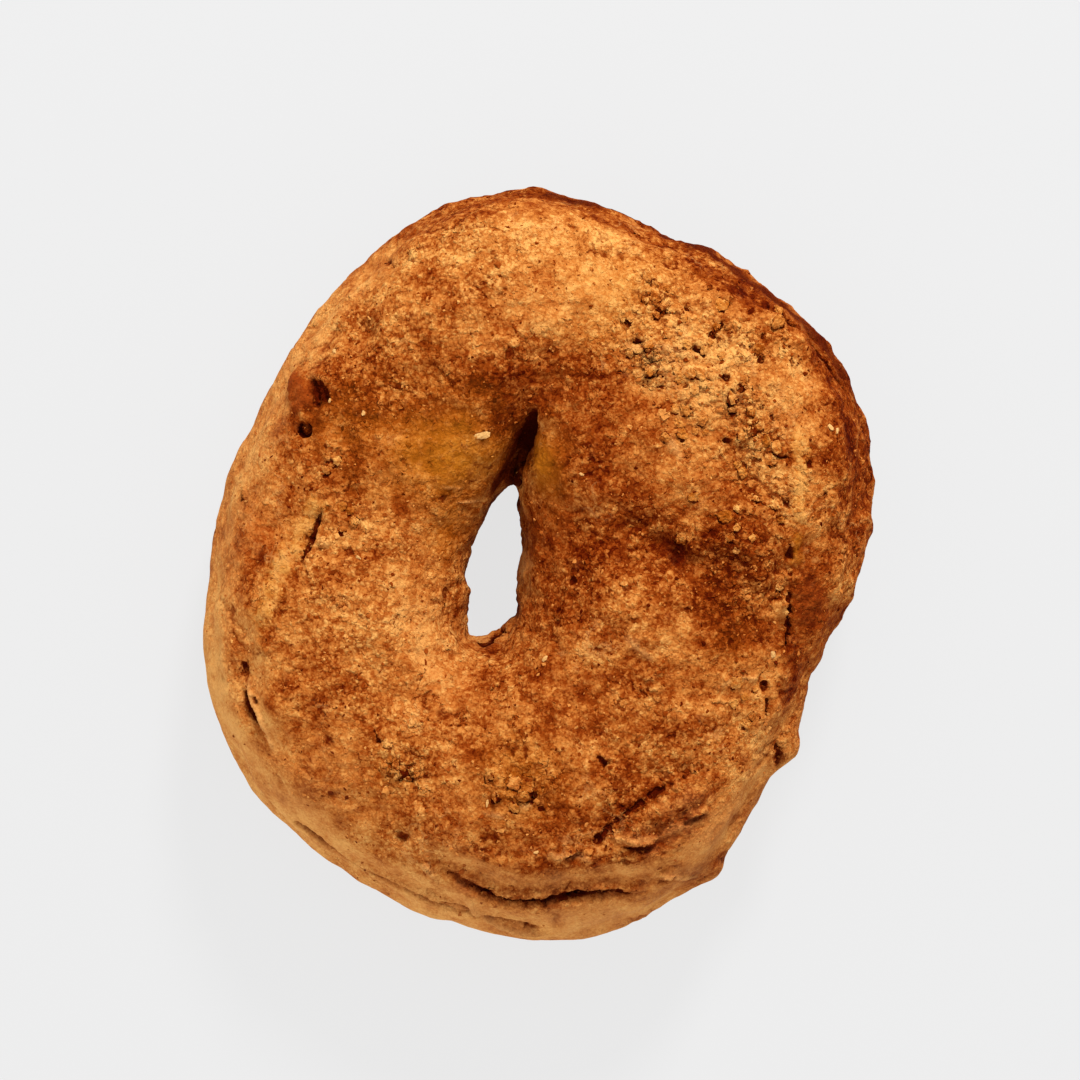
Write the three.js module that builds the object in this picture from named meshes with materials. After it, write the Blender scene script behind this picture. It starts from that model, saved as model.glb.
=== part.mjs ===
// A hand-shaped bagel, as one solid: a roll of dough closed into an oval ring with a pinched slot
// for its hole, domed above, flat where it baked on its tray, with a fold line round its side.
//
// Frame, in millimetres: +Z up, the flat base on Z = 0, the origin under the middle of the bagel.
// A place on the crust is a turn and a climb, in degrees. The turn runs round the ring from +X
// towards +Y. The climb runs round the roll: 0 at the rim, 90 at the crown, 180 at the hole's
// wall and 270 at the base.
import * as THREE from 'three';
import { ImprovedNoise } from 'three/addons/math/ImprovedNoise.js';

// Driving dimensions. The levels are where the roll is widest, at the rim and at the hole.
const RIM_RADIUS = 61.2;
const CROWN_HEIGHT = 41;
const RIM_LEVEL = 17;
const HOLE_LEVEL = 20;

// The hole is a slot with slanting ends, seen from above. Its powers round off its corners.
const HOLE = {
  x: -7.9,
  y: 0.9,
  halfWidth: 5.1,
  halfLength: 13.2,
  slant: 0.7,
  northSlant: 0.45,
  lean: 0.07,
  acrossPower: 0.6,
  alongPower: 0.8,
};

// The rim's uneven outline: each wave has this many lobes, of this reach, the first at this turn.
const RIM_WAVES = [
  { lobes: 1, reach: 0.9, turn: 147 },
  { lobes: 2, reach: 4.9, turn: 71 },
  { lobes: 3, reach: 0.5, turn: 21 },
  { lobes: 4, reach: 2.0, turn: 20 },
  { lobes: 5, reach: 0.5, turn: 17 },
  { lobes: 6, reach: 0.4, turn: 35 },
];

// How full the roll is: a superellipse's power above and below its widest level. The shoulder
// adds to it where the dome is squarer.
const DOME_POWER = 2.25;
const BASE_POWER = 2.45;
const SHOULDER = { turn: 40, spread: 30, power: 0.55 };

// An arm of the ring broader than the usual one rises higher. The roll is sunk a little into its
// tray, which flattens it.
const USUAL_ARM = 50;
const HEIGHT_PER_WIDTH = 0.3;
const BASE_SINK = 2.4;

// Mesh: steps round the ring and round the roll, which are longer on the underside. The steps
// round the roll start at its base and are measured on finer samples of it.
const TURN_STEPS = 132;
const CLIMB_STEPS = 42;
const CLIMB_START = -90;
const SAMPLES_PER_STEP = 8;
const UNDERSIDE = { below: 9, stepGrowth: 2.6 };
const SLOPE_STEP = 0.004;

// Swellings and hollows of the crust: where, how far they reach and how far they rise, in mm.
const SWELLINGS = [
  { name: 'right hollow', turn: 1, climb: 108, reach: 5, rise: -2.6 },
  { name: 'right hollow middle', turn: 359, climb: 98, reach: 4, rise: -1.8 },
  { name: 'right hollow end', turn: 357, climb: 87, reach: 4, rise: -1.4 },
  { name: 'hump below the hollow', turn: 343, climb: 109, reach: 9, rise: 2.2 },
  { name: 'rough hollow', turn: 350, climb: 79, reach: 7, rise: -1.4 },
  { name: 'upper right hump', turn: 46, climb: 90, reach: 15, rise: 1.4 },
  { name: 'seam valley', turn: 75, climb: 110, reach: 6, rise: -1.6 },
  { name: 'seam valley end', turn: 62, climb: 96, reach: 7, rise: -1.0 },
  { name: 'top hump', turn: 96, climb: 72, reach: 15, rise: 1.0 },
  { name: 'blister', turn: 142, climb: 55, reach: 3.6, rise: 1.6 },
  { name: 'burnt pit', turn: 148.5, climb: 62, reach: 2.2, rise: -1.7 },
  { name: 'left flank', turn: 160, climb: 60, reach: 12, rise: -1.0 },
  { name: 'left band', turn: 184, climb: 62, reach: 9, rise: 1.0 },
  { name: 'left hump', turn: 196, climb: 104, reach: 12, rise: 1.0 },
  { name: 'lower left dent', turn: 245, climb: 68, reach: 3.2, rise: -1.3 },
  { name: 'lower hump', turn: 262, climb: 92, reach: 14, rise: 1.2 },
  { name: 'lower right hump', turn: 302, climb: 48, reach: 11, rise: 1.6 },
  { name: 'rim lump', turn: 44.5, climb: 46, reach: 3.6, rise: 1.1 },
  { name: 'second rim lump', turn: 40, climb: 43, reach: 3.6, rise: 1.1 },
  { name: 'flattened side', turn: 341, climb: 14, reach: 13, rise: -1.0 },
];

// Folds of the crust: a groove along a curve, with a lip that stands over it on the crown's side,
// this many groove widths away. A path's points are a turn and a climb.
const LIP_OFFSET = 1.6;
const FOLD_SAMPLES = 6;
const FOLDS = [
  {
    name: 'long lip',
    depth: 2,
    width: 2.4,
    lip: 1.2,
    path: [[254, 62], [261, 58], [270, 53], [280, 55], [288, 50]],
  },
  { name: 'lower lip', depth: 1.3, width: 2.3, lip: 0.8, path: [[241, 36], [250, 39], [260, 35], [270, 28]] },
  {
    name: 'slanting crack',
    depth: 1.6,
    width: 2.3,
    lip: 0.8,
    path: [[286, 76], [294, 78], [303, 77], [312, 72]],
  },
  { name: 'short crack', depth: 0.8, width: 2.2, lip: 0.4, path: [[290, 70], [296, 64]] },
  { name: 'flank crack', depth: 0.8, width: 2.2, lip: 0.4, path: [[299, 65], [306, 59]] },
  { name: 'lower flank crack', depth: 0.9, width: 2.2, lip: 0.5, path: [[291, 48], [297, 44]] },
  { name: 'crevice', depth: 1.8, width: 2.2, lip: 0.8, path: [[357, 62], [352, 59], [343, 51]] },
  { name: 'left stretch crack', depth: 1.3, width: 2.2, lip: 0.7, path: [[166, 80], [170, 78], [174, 77]] },
  { name: 'left groove', depth: 1.4, width: 2.3, lip: 0.8, path: [[192, 55], [202, 54], [212, 52]] },
  { name: 'top notch', depth: 1, width: 2.2, lip: 0.5, path: [[124, 52], [127, 58]] },
];

// The fold line round the side, where the dome overhangs the roll that spread on the tray. It
// wavers up and down by degrees of climb, and it is deeper at some turns than at others.
const SIDE_FOLD = {
  climb: 24,
  waver: 12,
  waverLobes: 2.2,
  depth: 1.5,
  usualStrength: 0.75,
  leastStrength: 0.15,
  strengthChange: 1.2,
  strengthLobes: 1.7,
  width: 1.9,
  roll: 0.6,
  rollWidth: 4,
};
const SIDE_RADIUS = 26; // of the roll's side, which turns an angle of climb into a length

// Flaps of torn crust that jut from the rim, steep towards one side.
const CRAG_STEEPNESS = 0.35;
const CRAGS = [
  { name: 'lower crag', turn: 300.5, climb: 14, reach: 4.5, rise: 2.8, steep: 1 },
  { name: 'right crag', turn: 323, climb: 12, reach: 5, rise: 3.2, steep: -1 },
];

// The crease above the hole, where the ends of the roll are pressed together. It runs from the
// hole's tip to the crown, with a steep wall on its right and a long slope on its left. At its
// start it closes this share of the way down to the hole's own level.
const PINCH = {
  from: [-4.4, 13],
  to: [0.2, 31],
  share: 0.8,
  steepWidth: 1.5,
  slopeWidth: 3.2,
  start: 7,
};

// Unevenness of the dough: a wave length and a height for each size of lump.
const LUMPS = [
  { length: 24, height: 1.45 },
  { length: 9, height: 0.7 },
  { length: 4.5, height: 0.35 },
];
const SEED = 7.3;
const BASE_FADE = 7; // the relief dies out this far above the tray
const CRUST_COLOUR = 0xb0622b;

const rad = THREE.MathUtils.degToRad;
const noise = new ImprovedNoise();
const lobe = (distance, reach) => Math.exp(-((distance / reach) ** 2));
const signedPower = (value, power) => Math.sign(value) * Math.abs(value) ** power;

// The angle from b to a, in radians, from -PI to PI.
const angleBetween = (a, b) => Math.atan2(Math.sin(a - b), Math.cos(a - b));

// A point of the rim's outline at a turn, seen from above.
function rimAt(turn) {
  let radius = RIM_RADIUS;
  for (const wave of RIM_WAVES) {
    radius += wave.reach * Math.cos(wave.lobes * (turn - rad(wave.turn)));
  }
  return new THREE.Vector2(radius * Math.cos(turn), radius * Math.sin(turn));
}

// A point of the hole's narrowest outline at a turn, seen from above.
function holeAt(turn) {
  const across = HOLE.halfWidth * signedPower(Math.cos(turn), HOLE.acrossPower);
  const along = HOLE.halfLength * signedPower(Math.sin(turn), HOLE.alongPower);
  const slant = HOLE.slant + (HOLE.northSlant * along) / HOLE.halfLength;
  return new THREE.Vector2(HOLE.x + across + HOLE.lean * along, HOLE.y + along + slant * across);
}

// A point of the smooth roll, before any relief.
function rollAt(turn, climb) {
  const rim = rimAt(turn);
  const hole = holeAt(turn);
  const width = rim.distanceTo(hole);
  const shoulder = SHOULDER.power * lobe(angleBetween(turn, rad(SHOULDER.turn)), rad(SHOULDER.spread));
  const above = Math.sin(climb) > 0;
  const power = above ? DOME_POWER + shoulder : BASE_POWER;
  const share = 0.5 + 0.5 * signedPower(Math.cos(climb), 2 / power);
  const level = THREE.MathUtils.lerp(HOLE_LEVEL, RIM_LEVEL, share);
  const crown = CROWN_HEIGHT + HEIGHT_PER_WIDTH * (width - USUAL_ARM);
  const reach = above ? crown - level : level + BASE_SINK;
  const plan = hole.lerp(rim, share);
  return new THREE.Vector3(plan.x, plan.y, level + reach * signedPower(Math.sin(climb), 2 / power));
}

// The direction that faces out of the smooth roll.
function outwardAt(turn, climb) {
  const round = rollAt(turn + SLOPE_STEP, climb).sub(rollAt(turn - SLOPE_STEP, climb));
  const over = rollAt(turn, climb + SLOPE_STEP).sub(rollAt(turn, climb - SLOPE_STEP));
  return round.cross(over).normalize();
}

// The climbs that divide the roll at a turn into even steps, which are longer on the underside.
function climbsAt(turn) {
  const samples = SAMPLES_PER_STEP * CLIMB_STEPS;
  const climbOf = (sample) => rad(CLIMB_START + (360 * sample) / samples);
  const travel = [0];
  for (let sample = 1; sample <= samples; sample++) {
    const last = rollAt(turn, climbOf(sample - 1));
    const next = rollAt(turn, climbOf(sample));
    const shrink = next.z < UNDERSIDE.below ? UNDERSIDE.stepGrowth : 1;
    travel.push(travel[sample - 1] + next.distanceTo(last) / shrink);
  }
  const climbs = [];
  let sample = 0;
  for (let step = 0; step < CLIMB_STEPS; step++) {
    const target = (travel[samples] * step) / CLIMB_STEPS;
    while (travel[sample + 1] < target) {
      sample++;
    }
    const share = (target - travel[sample]) / (travel[sample + 1] - travel[sample]);
    climbs.push(climbOf(sample + share));
  }
  return climbs;
}

// The curve of a fold as points on the roll, close enough together to measure from.
function foldPoints(path) {
  const corners = path.map(([turn, climb]) => rollAt(rad(turn), rad(climb)));
  return new THREE.CatmullRomCurve3(corners).getSpacedPoints(FOLD_SAMPLES * path.length);
}

const folds = FOLDS.map((fold) => ({ ...fold, points: foldPoints(fold.path) }));
const swellings = SWELLINGS.map((swelling) => ({
  ...swelling,
  centre: rollAt(rad(swelling.turn), rad(swelling.climb)),
}));

// How far a fold moves the crust: down in its groove, up in the lip beside it on the crown's side.
function foldRise(fold, point) {
  let nearest = fold.points[0];
  for (const candidate of fold.points) {
    if (candidate.distanceTo(point) < nearest.distanceTo(point)) {
      nearest = candidate;
    }
  }
  const distance = nearest.distanceTo(point);
  const inward = Math.hypot(nearest.x, nearest.y) - Math.hypot(point.x, point.y);
  const side = THREE.MathUtils.clamp(inward / Math.max(distance, fold.width), 0, 1);
  const lip = fold.lip * side * lobe(distance - LIP_OFFSET * fold.width, fold.width);
  return lip - fold.depth * lobe(distance, fold.width);
}

// A value between -1 and 1 that changes smoothly round the ring.
function roundTheRing(turn, lobes, seed) {
  return noise.noise(lobes * Math.cos(turn), lobes * Math.sin(turn), seed);
}

// The fold line round the side and the roll that swells below it.
function sideFoldRise(turn, climb) {
  const waver = SIDE_FOLD.waver * roundTheRing(turn, SIDE_FOLD.waverLobes, SEED);
  const change = SIDE_FOLD.strengthChange * roundTheRing(turn, SIDE_FOLD.strengthLobes, 2 * SEED);
  const strength = Math.max(SIDE_FOLD.leastStrength, SIDE_FOLD.usualStrength + change);
  const distance = SIDE_RADIUS * angleBetween(climb, rad(SIDE_FOLD.climb + waver));
  const groove = SIDE_FOLD.depth * strength * lobe(distance, SIDE_FOLD.width);
  return SIDE_FOLD.roll * lobe(distance + SIDE_FOLD.rollWidth, SIDE_FOLD.rollWidth) - groove;
}

// A flap that juts from the rim: it rises slowly along the ring, then drops off on its steep side.
function cragRise(crag, turn, climb) {
  const along = crag.steep * angleBetween(turn, rad(crag.turn)) * RIM_RADIUS;
  const up = angleBetween(climb, rad(crag.climb)) * SIDE_RADIUS;
  const steepness = along > 0 ? CRAG_STEEPNESS : 1;
  return crag.rise * lobe(along, steepness * crag.reach) * lobe(up, crag.reach);
}

// The share of the way down to the hole's level that the pinched crease presses the crust.
function pinchShare(point) {
  const from = new THREE.Vector2(...PINCH.from);
  const run = new THREE.Vector2(...PINCH.to).sub(from);
  const offset = new THREE.Vector2(point.x, point.y).sub(from);
  const along = offset.dot(run) / run.length();
  const across = offset.cross(run) / run.length();
  const width = across > 0 ? PINCH.steepWidth : PINCH.slopeWidth;
  const opening = THREE.MathUtils.smoothstep(along, -PINCH.start, 0);
  const closing = 1 - THREE.MathUtils.smoothstep(along, 0, run.length());
  return PINCH.share * opening * closing * lobe(across, width);
}

// Lumps of the dough, the same at the same place.
function lumpRise(point) {
  let rise = 0;
  for (const { length, height } of LUMPS) {
    rise += height * noise.noise(point.x / length + SEED * length, point.y / length, point.z / length);
  }
  return rise;
}

// How far the crust stands out from the smooth roll.
function reliefAt(turn, climb, point) {
  let rise = lumpRise(point) + sideFoldRise(turn, climb);
  for (const swelling of swellings) {
    rise += swelling.rise * lobe(swelling.centre.distanceTo(point), swelling.reach);
  }
  for (const fold of folds) {
    rise += foldRise(fold, point);
  }
  for (const crag of CRAGS) {
    rise += cragRise(crag, turn, climb);
  }
  return rise * THREE.MathUtils.smoothstep(point.z, 0, BASE_FADE);
}

// A point of the finished crust: the roll with its relief, creased above the hole, flat below.
function crustAt(turn, climb) {
  const point = rollAt(turn, climb);
  const place = point.clone().addScaledVector(outwardAt(turn, climb), reliefAt(turn, climb, point));
  place.z -= Math.max(place.z - HOLE_LEVEL, 0) * pinchShare(point);
  place.z = Math.max(place.z, 0);
  return place;
}

// The closed surface: a grid that runs round the ring and round the roll.
function crustGeometry() {
  const positions = [];
  const corners = [];
  for (let i = 0; i < TURN_STEPS; i++) {
    const turn = (2 * Math.PI * i) / TURN_STEPS;
    for (const climb of climbsAt(turn)) {
      positions.push(...crustAt(turn, climb));
    }
    const here = i * CLIMB_STEPS;
    const next = ((i + 1) % TURN_STEPS) * CLIMB_STEPS;
    for (let j = 0; j < CLIMB_STEPS; j++) {
      const up = (j + 1) % CLIMB_STEPS;
      corners.push(here + j, next + j, next + up);
      corners.push(here + j, next + up, here + up);
    }
  }
  const geometry = new THREE.BufferGeometry();
  geometry.setAttribute('position', new THREE.Float32BufferAttribute(positions, 3));
  geometry.setIndex(corners);
  geometry.computeVertexNormals();
  return geometry;
}

// Moves a geometry so that its box stands on the origin, centred over it.
function standOnOrigin(geometry) {
  geometry.computeBoundingBox();
  const { min, max } = geometry.boundingBox;
  return geometry.translate(-(min.x + max.x) / 2, -(min.y + max.y) / 2, -min.z);
}

// The whole bagel as one mesh.
function bagel() {
  const crust = new THREE.MeshStandardMaterial({ color: CRUST_COLOUR, roughness: 0.85, metalness: 0 });
  const mesh = new THREE.Mesh(standOnOrigin(crustGeometry()), crust);
  mesh.name = 'bagel';
  return mesh;
}

const part = new THREE.Group();
part.add(bagel());

export default part;
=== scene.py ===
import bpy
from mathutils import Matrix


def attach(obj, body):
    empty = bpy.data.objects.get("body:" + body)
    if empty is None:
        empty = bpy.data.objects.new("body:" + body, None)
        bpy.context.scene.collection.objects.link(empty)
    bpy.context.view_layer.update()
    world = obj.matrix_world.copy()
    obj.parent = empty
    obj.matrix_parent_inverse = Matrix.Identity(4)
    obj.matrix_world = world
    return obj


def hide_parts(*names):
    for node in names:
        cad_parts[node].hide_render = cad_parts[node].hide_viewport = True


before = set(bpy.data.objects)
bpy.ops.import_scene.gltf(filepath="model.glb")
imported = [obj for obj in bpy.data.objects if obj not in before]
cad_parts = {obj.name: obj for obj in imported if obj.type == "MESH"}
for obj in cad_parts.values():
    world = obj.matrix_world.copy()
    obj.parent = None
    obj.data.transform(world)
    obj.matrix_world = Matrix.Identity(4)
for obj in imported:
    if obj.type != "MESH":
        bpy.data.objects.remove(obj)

"""A hand-shaped wholegrain bagel: its baked crust, the crumbs stuck to it, and a pale stage.

The frame is in metres: +Z up, the flat base on Z = 0, the origin under the middle of the bagel.
Sizes and places in the classes below are in millimetres. A place on the crust is its x and y
seen from above, and it sits on the crust that lies under them.
"""

import logging
from collections.abc import Iterable
from dataclasses import dataclass, field
from enum import Enum
from typing import Any

import bmesh
import bpy
import numpy as np
from mathutils import Matrix, Vector, noise
from mathutils.bvhtree import BVHTree
from mathutils.kdtree import KDTree

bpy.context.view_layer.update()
NODE = "bagel"
BODY = "root"
MM = 0.001

Array = np.ndarray
Place = tuple[float, float]
Span = tuple[float, float]
Spot = tuple[float, float, float]
Colour = tuple[float, float, float]
NORTH = (0.0, 1.0)
SOUTH = (0.0, -1.0)
EAST = (1.0, 0.0)
WEST = (-1.0, 0.0)
DOWNWARD = Vector((0.0, 0.0, -1.0))
FULL_TURN = 6.28
SQUARE_CM_PER_SQUARE_METRE = 1e4

log = logging.getLogger("bagel")


# --- Node building ---------------------------------------------------------------------------


class Value:
    """A number socket that adds Math nodes when it is used in an expression."""

    def __init__(self, nodes: "Nodes", socket: bpy.types.NodeSocket) -> None:
        """Wraps a socket of a node tree."""
        self.nodes = nodes
        self.socket = socket

    def maths(self, operation: str, *terms: Any, clamp: bool = False) -> "Value":
        """Adds a Math node.

        Args:
            operation: The node's operation.
            terms: The node's inputs, as values, sockets or numbers.
            clamp: Whether the result is kept between 0 and 1.

        Returns:
            The node's result.
        """
        settings = {"operation": operation, "use_clamp": clamp}
        node = self.nodes.add("ShaderNodeMath", settings, dict(enumerate(terms)))
        return Value(self.nodes, node.outputs[0])

    def __add__(self, other: Any) -> "Value":
        """Returns the sum."""
        return self.maths("ADD", self, other)

    __radd__ = __add__

    def __sub__(self, other: Any) -> "Value":
        """Returns the difference."""
        return self.maths("SUBTRACT", self, other)

    def __rsub__(self, other: Any) -> "Value":
        """Returns the difference from a number."""
        return self.maths("SUBTRACT", other, self)

    def __mul__(self, other: Any) -> "Value":
        """Returns the product."""
        return self.maths("MULTIPLY", self, other)

    __rmul__ = __mul__

    def __rtruediv__(self, other: Any) -> "Value":
        """Returns a number divided by the value."""
        return self.maths("DIVIDE", other, self)

    def __pow__(self, power: float) -> "Value":
        """Returns the value raised to a power."""
        return self.maths("POWER", self, power)

    def clamped(self) -> "Value":
        """Returns the value kept between 0 and 1."""
        return self.maths("ADD", self, 0.0, clamp=True)

    def step(self, low: float, high: float) -> "Value":
        """Adds a smooth step.

        Args:
            low: Where the step starts, at 0.
            high: Where it ends, at 1. It may be below low, and the step then falls.

        Returns:
            The step's height, from 0 to 1.
        """
        ends = (low, high, 0.0, 1.0) if high > low else (high, low, 1.0, 0.0)
        names = ("From Min", "From Max", "To Min", "To Max")
        inputs = {"Value": self, **dict(zip(names, ends))}
        node = self.nodes.add("ShaderNodeMapRange", {"interpolation_type": "SMOOTHSTEP"}, inputs)
        return Value(self.nodes, node.outputs["Result"])


@dataclass(frozen=True)
class Cells:
    """What a pattern of cells gives for a point, all but the draw in cell widths."""

    distance: Value
    draw: Value
    north: Value


@dataclass(frozen=True)
class Nodes:
    """Adds nodes to a node tree."""

    tree: bpy.types.NodeTree

    def add(
        self,
        kind: str,
        settings: dict[str, Any] | None = None,
        inputs: dict[str | int, Any] | None = None,
    ) -> bpy.types.Node:
        """Adds a node.

        Args:
            kind: The node's type.
            settings: The node's settings, set before its sockets. "stops" are a ramp's stops.
            inputs: A value or a link for each socket, by the socket's name or place.

        Returns:
            The node.
        """
        node = self.tree.nodes.new(kind)
        for name, setting in (settings or {}).items():
            if name == "stops":
                self.set_stops(node.color_ramp, setting)
            else:
                setattr(node, name, setting)
        for name, value in (inputs or {}).items():
            self.feed(node.inputs[name], value)
        return node

    def feed(self, socket: bpy.types.NodeSocket, value: Any) -> None:
        """Links a value or a socket to a socket, or sets the socket to a number or a colour."""
        source = value.socket if isinstance(value, Value) else value
        if isinstance(source, bpy.types.NodeSocket):
            self.tree.links.new(source, socket)
        else:
            socket.default_value = source

    @staticmethod
    def set_stops(ramp: bpy.types.ColorRamp, stops: Iterable[tuple[float, Colour]]) -> None:
        """Gives a ramp its stops, each a place and a colour."""
        for index, (place, colour) in enumerate(stops):
            while index >= len(ramp.elements):
                ramp.elements.new(1.0)
            ramp.elements[index].position = place
            ramp.elements[index].color = (*colour, 1.0)

    def value(self, socket: bpy.types.NodeSocket) -> Value:
        """Returns a socket as a value for expressions."""
        return Value(self, socket)

    def vector_maths(self, operation: str, inputs: dict[int, Any]) -> bpy.types.NodeSocket:
        """Adds a Vector Math node and returns its vector."""
        return self.add("ShaderNodeVectorMath", {"operation": operation}, inputs).outputs[0]

    def axis(self, vector: Any, index: int) -> Value:
        """Returns one of a vector's three numbers."""
        return self.value(self.add("ShaderNodeSeparateXYZ", None, {"Vector": vector}).outputs[index])

    def noise(self, place: Any, length: Any, detail: float = 2.0, distortion: float = 0.0) -> bpy.types.Node:
        """Adds a noise.

        Args:
            place: The socket that gives the place.
            length: The length of its waves, in metres.
            detail: How many finer noises it holds.
            distortion: How much its waves are bent.

        Returns:
            The noise node.
        """
        inputs = {"Vector": place, "Scale": 1 / length, "Detail": detail, "Distortion": distortion}
        return self.add("ShaderNodeTexNoise", None, inputs)

    def waves(self, place: Any, length: Any, detail: float = 2.0, distortion: float = 0.0) -> Value:
        """Returns a noise as a value around 0, from about -1 to 1."""
        node = self.noise(place, length, detail, distortion)
        return (self.value(node.outputs[0]) - 0.5) * 3.0

    def bent(self, place: Any, length: Any, reach: Any) -> bpy.types.NodeSocket:
        """Bends a place by a noise, so that a pattern on it grows uneven.

        Args:
            place: The socket that gives the place.
            length: The length of the bends, in metres.
            reach: How far they move a place, in metres.

        Returns:
            The bent place.
        """
        colour = self.noise(place, length, 1.0).outputs["Color"]
        centred = self.vector_maths("SUBTRACT", {0: colour, 1: (0.5, 0.5, 0.5)})
        moved = self.vector_maths("SCALE", {0: centred, 3: reach * 3.0})
        return self.vector_maths("ADD", {0: place, 1: moved})

    def fissures(self, place: Any, length: Any, width: float, share: float) -> Value:
        """Adds thin wandering lines that come and go.

        Args:
            place: The socket that gives the place.
            length: How far apart the lines wander, in metres.
            width: The width of a line, as a share of that length.
            share: How much of the lines shows, from 0 to 1.

        Returns:
            The lines: 1 in their middle and 0 beside them.
        """
        waves = self.waves(place, length, 5.0)
        lines = waves.maths("ABSOLUTE", waves)
        shown = self.waves(place, length * 1.7, 1.0).step(0.55 - share, 0.75 - share)
        return lines.step(width, 0.0) * shown

    def net(self, place: Any, length: Any, width: float) -> Value:
        """Adds a net of thin lines round cells.

        Args:
            place: The socket that gives the place.
            length: The width of a cell, in metres.
            width: Half the width of a line, in cell widths.

        Returns:
            The lines: 1 in their middle and 0 beside them.
        """
        inputs = {"Vector": place, "Scale": 1 / length}
        node = self.add("ShaderNodeTexVoronoi", {"feature": "DISTANCE_TO_EDGE"}, inputs)
        return self.value(node.outputs["Distance"]).step(width, 0.0)

    def cells(self, place: Any, length: Any) -> Cells:
        """Adds a pattern of cells.

        Args:
            place: The socket that gives the place.
            length: The width of a cell, in metres.

        Returns:
            The distance from the cell's middle, the cell's random draw, and how far north of the middle.
        """
        node = self.add("ShaderNodeTexVoronoi", None, {"Vector": place, "Scale": 1 / length})
        draw = self.axis(node.outputs["Color"], 0)
        apart = self.vector_maths("SUBTRACT", {0: place, 1: node.outputs["Position"]})
        north = self.axis(apart, 1) * (1 / length)
        return Cells(self.value(node.outputs["Distance"]), draw, north)


class Tint(Enum):
    """How a place on the crust differs from the rest, kept as an attribute of the crust's points."""

    # Mostly real browning, but in some patches and folds painted shade on valleys and slopes turned from the
    # light.
    BROWNING_AND_SHADE = "browning"
    OCHRE = "ochre"
    REDNESS = "redness"
    PALENESS = "paleness"
    # Real scorching on the burnt pit, and painted shade in creases, round the hole and under lumps.
    SCORCH_AND_SHADE = "scorch"
    BURN = "burn"
    # Painted shade in grooves, pits, cracks, dents and under lumps.
    CREVICE_SHADE = "crevice"
    CRUMBS = "crumbs"
    SMOOTHNESS = "smoothness"


# --- Finishes --------------------------------------------------------------------------------


@dataclass(frozen=True)
class Palette:
    """The colours of baked dough, from burnt to barely baked."""

    burnt: Colour = (0.040, 0.003, 0.0003)
    deep: Colour = (0.105, 0.011, 0.0005)
    brown: Colour = (0.255, 0.054, 0.006)
    tan: Colour = (0.465, 0.167, 0.037)
    gold: Colour = (0.670, 0.345, 0.106)
    ochre: Colour = (0.430, 0.160, 0.012)
    rust: Colour = (0.450, 0.105, 0.017)
    maroon: Colour = (0.090, 0.013, 0.0020)
    pale: Colour = (0.640, 0.330, 0.118)

    def stops(self) -> list[tuple[float, Colour]]:
        """Returns the stops of the ramp from the darkest crust to the lightest."""
        return [(0.0, self.burnt), (0.2, self.deep), (0.4, self.brown), (0.62, self.tan), (0.9, self.gold)]


class Shader(Nodes):
    """Adds the nodes of a material."""

    def place(self) -> bpy.types.NodeSocket:
        """Returns the place in the piece's own coordinates."""
        return self.add("ShaderNodeTexCoord").outputs["Object"]

    def attribute(self, name: str) -> Value:
        """Returns an attribute of the piece's points."""
        return self.value(self.add("ShaderNodeAttribute", {"attribute_name": name}).outputs["Fac"])

    def mix(self, share: Any, first: Any, second: Any, blend: str = "MIX") -> bpy.types.NodeSocket:
        """Adds a mix of two colours.

        Args:
            share: How much of the second colour there is, from 0 to 1.
            first: The first colour or its socket.
            second: The second colour or its socket.
            blend: The blend type.

        Returns:
            The mixed colour.
        """
        colours = [(*colour, 1.0) if isinstance(colour, tuple) else colour for colour in (first, second)]
        settings = {"data_type": "RGBA", "blend_type": blend, "clamp_factor": True}
        return self.add("ShaderNodeMix", settings, {0: share, 6: colours[0], 7: colours[1]}).outputs[2]

    def ramp(self, share: Value, stops: Iterable[tuple[float, Colour]]) -> bpy.types.NodeSocket:
        """Returns the colour of a ramp at a share of its length."""
        return self.add("ShaderNodeValToRGB", {"stops": stops}, {"Fac": share}).outputs["Color"]

    def bump(
        self, height: Value, distance: float, strength: float, below: Any = None
    ) -> bpy.types.NodeSocket:
        """Adds a bump.

        Args:
            height: The height, where 1 stands for the distance.
            distance: How far a height of 1 stands out, in metres.
            strength: How strong the bump is.
            below: The normal of another bump that this one lies on.

        Returns:
            The normal.
        """
        inputs = {"Height": height, "Distance": distance, "Strength": strength}
        if below is not None:
            inputs["Normal"] = below
        return self.add("ShaderNodeBump", None, inputs).outputs["Normal"]

    def frayed(self, amount: Value, shreds: Value, smooth: Value) -> Value:
        """Tears the soft edge of an amount.

        Args:
            amount: The amount, which fades out softly.
            shreds: The noise that tears the edge.
            smooth: How much of the soft edge stays, from 0 to 1.

        Returns:
            The amount, from 0 to 1.
        """
        torn = (amount + shreds * 0.30).step(0.28, 0.58) * (amount * 1.7).clamped()
        return (torn * (1 - smooth) + amount * smooth).clamped()

    def surface(self, **inputs: Any) -> None:
        """Adds the Principled shader and the output. An underscore in a name stands for a space."""
        sockets = {name.replace("_", " "): value for name, value in inputs.items()}
        shader = self.add("ShaderNodeBsdfPrincipled", None, sockets)
        self.add("ShaderNodeOutputMaterial", None, {"Surface": shader.outputs["BSDF"]})


def new_material(name: str) -> tuple[bpy.types.Material, Shader]:
    """Returns a new material with an empty node tree, and the tree's builder."""
    material = bpy.data.materials.new(name)
    material.use_nodes = True
    material.node_tree.nodes.clear()
    return material, Shader(material.node_tree)


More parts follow.
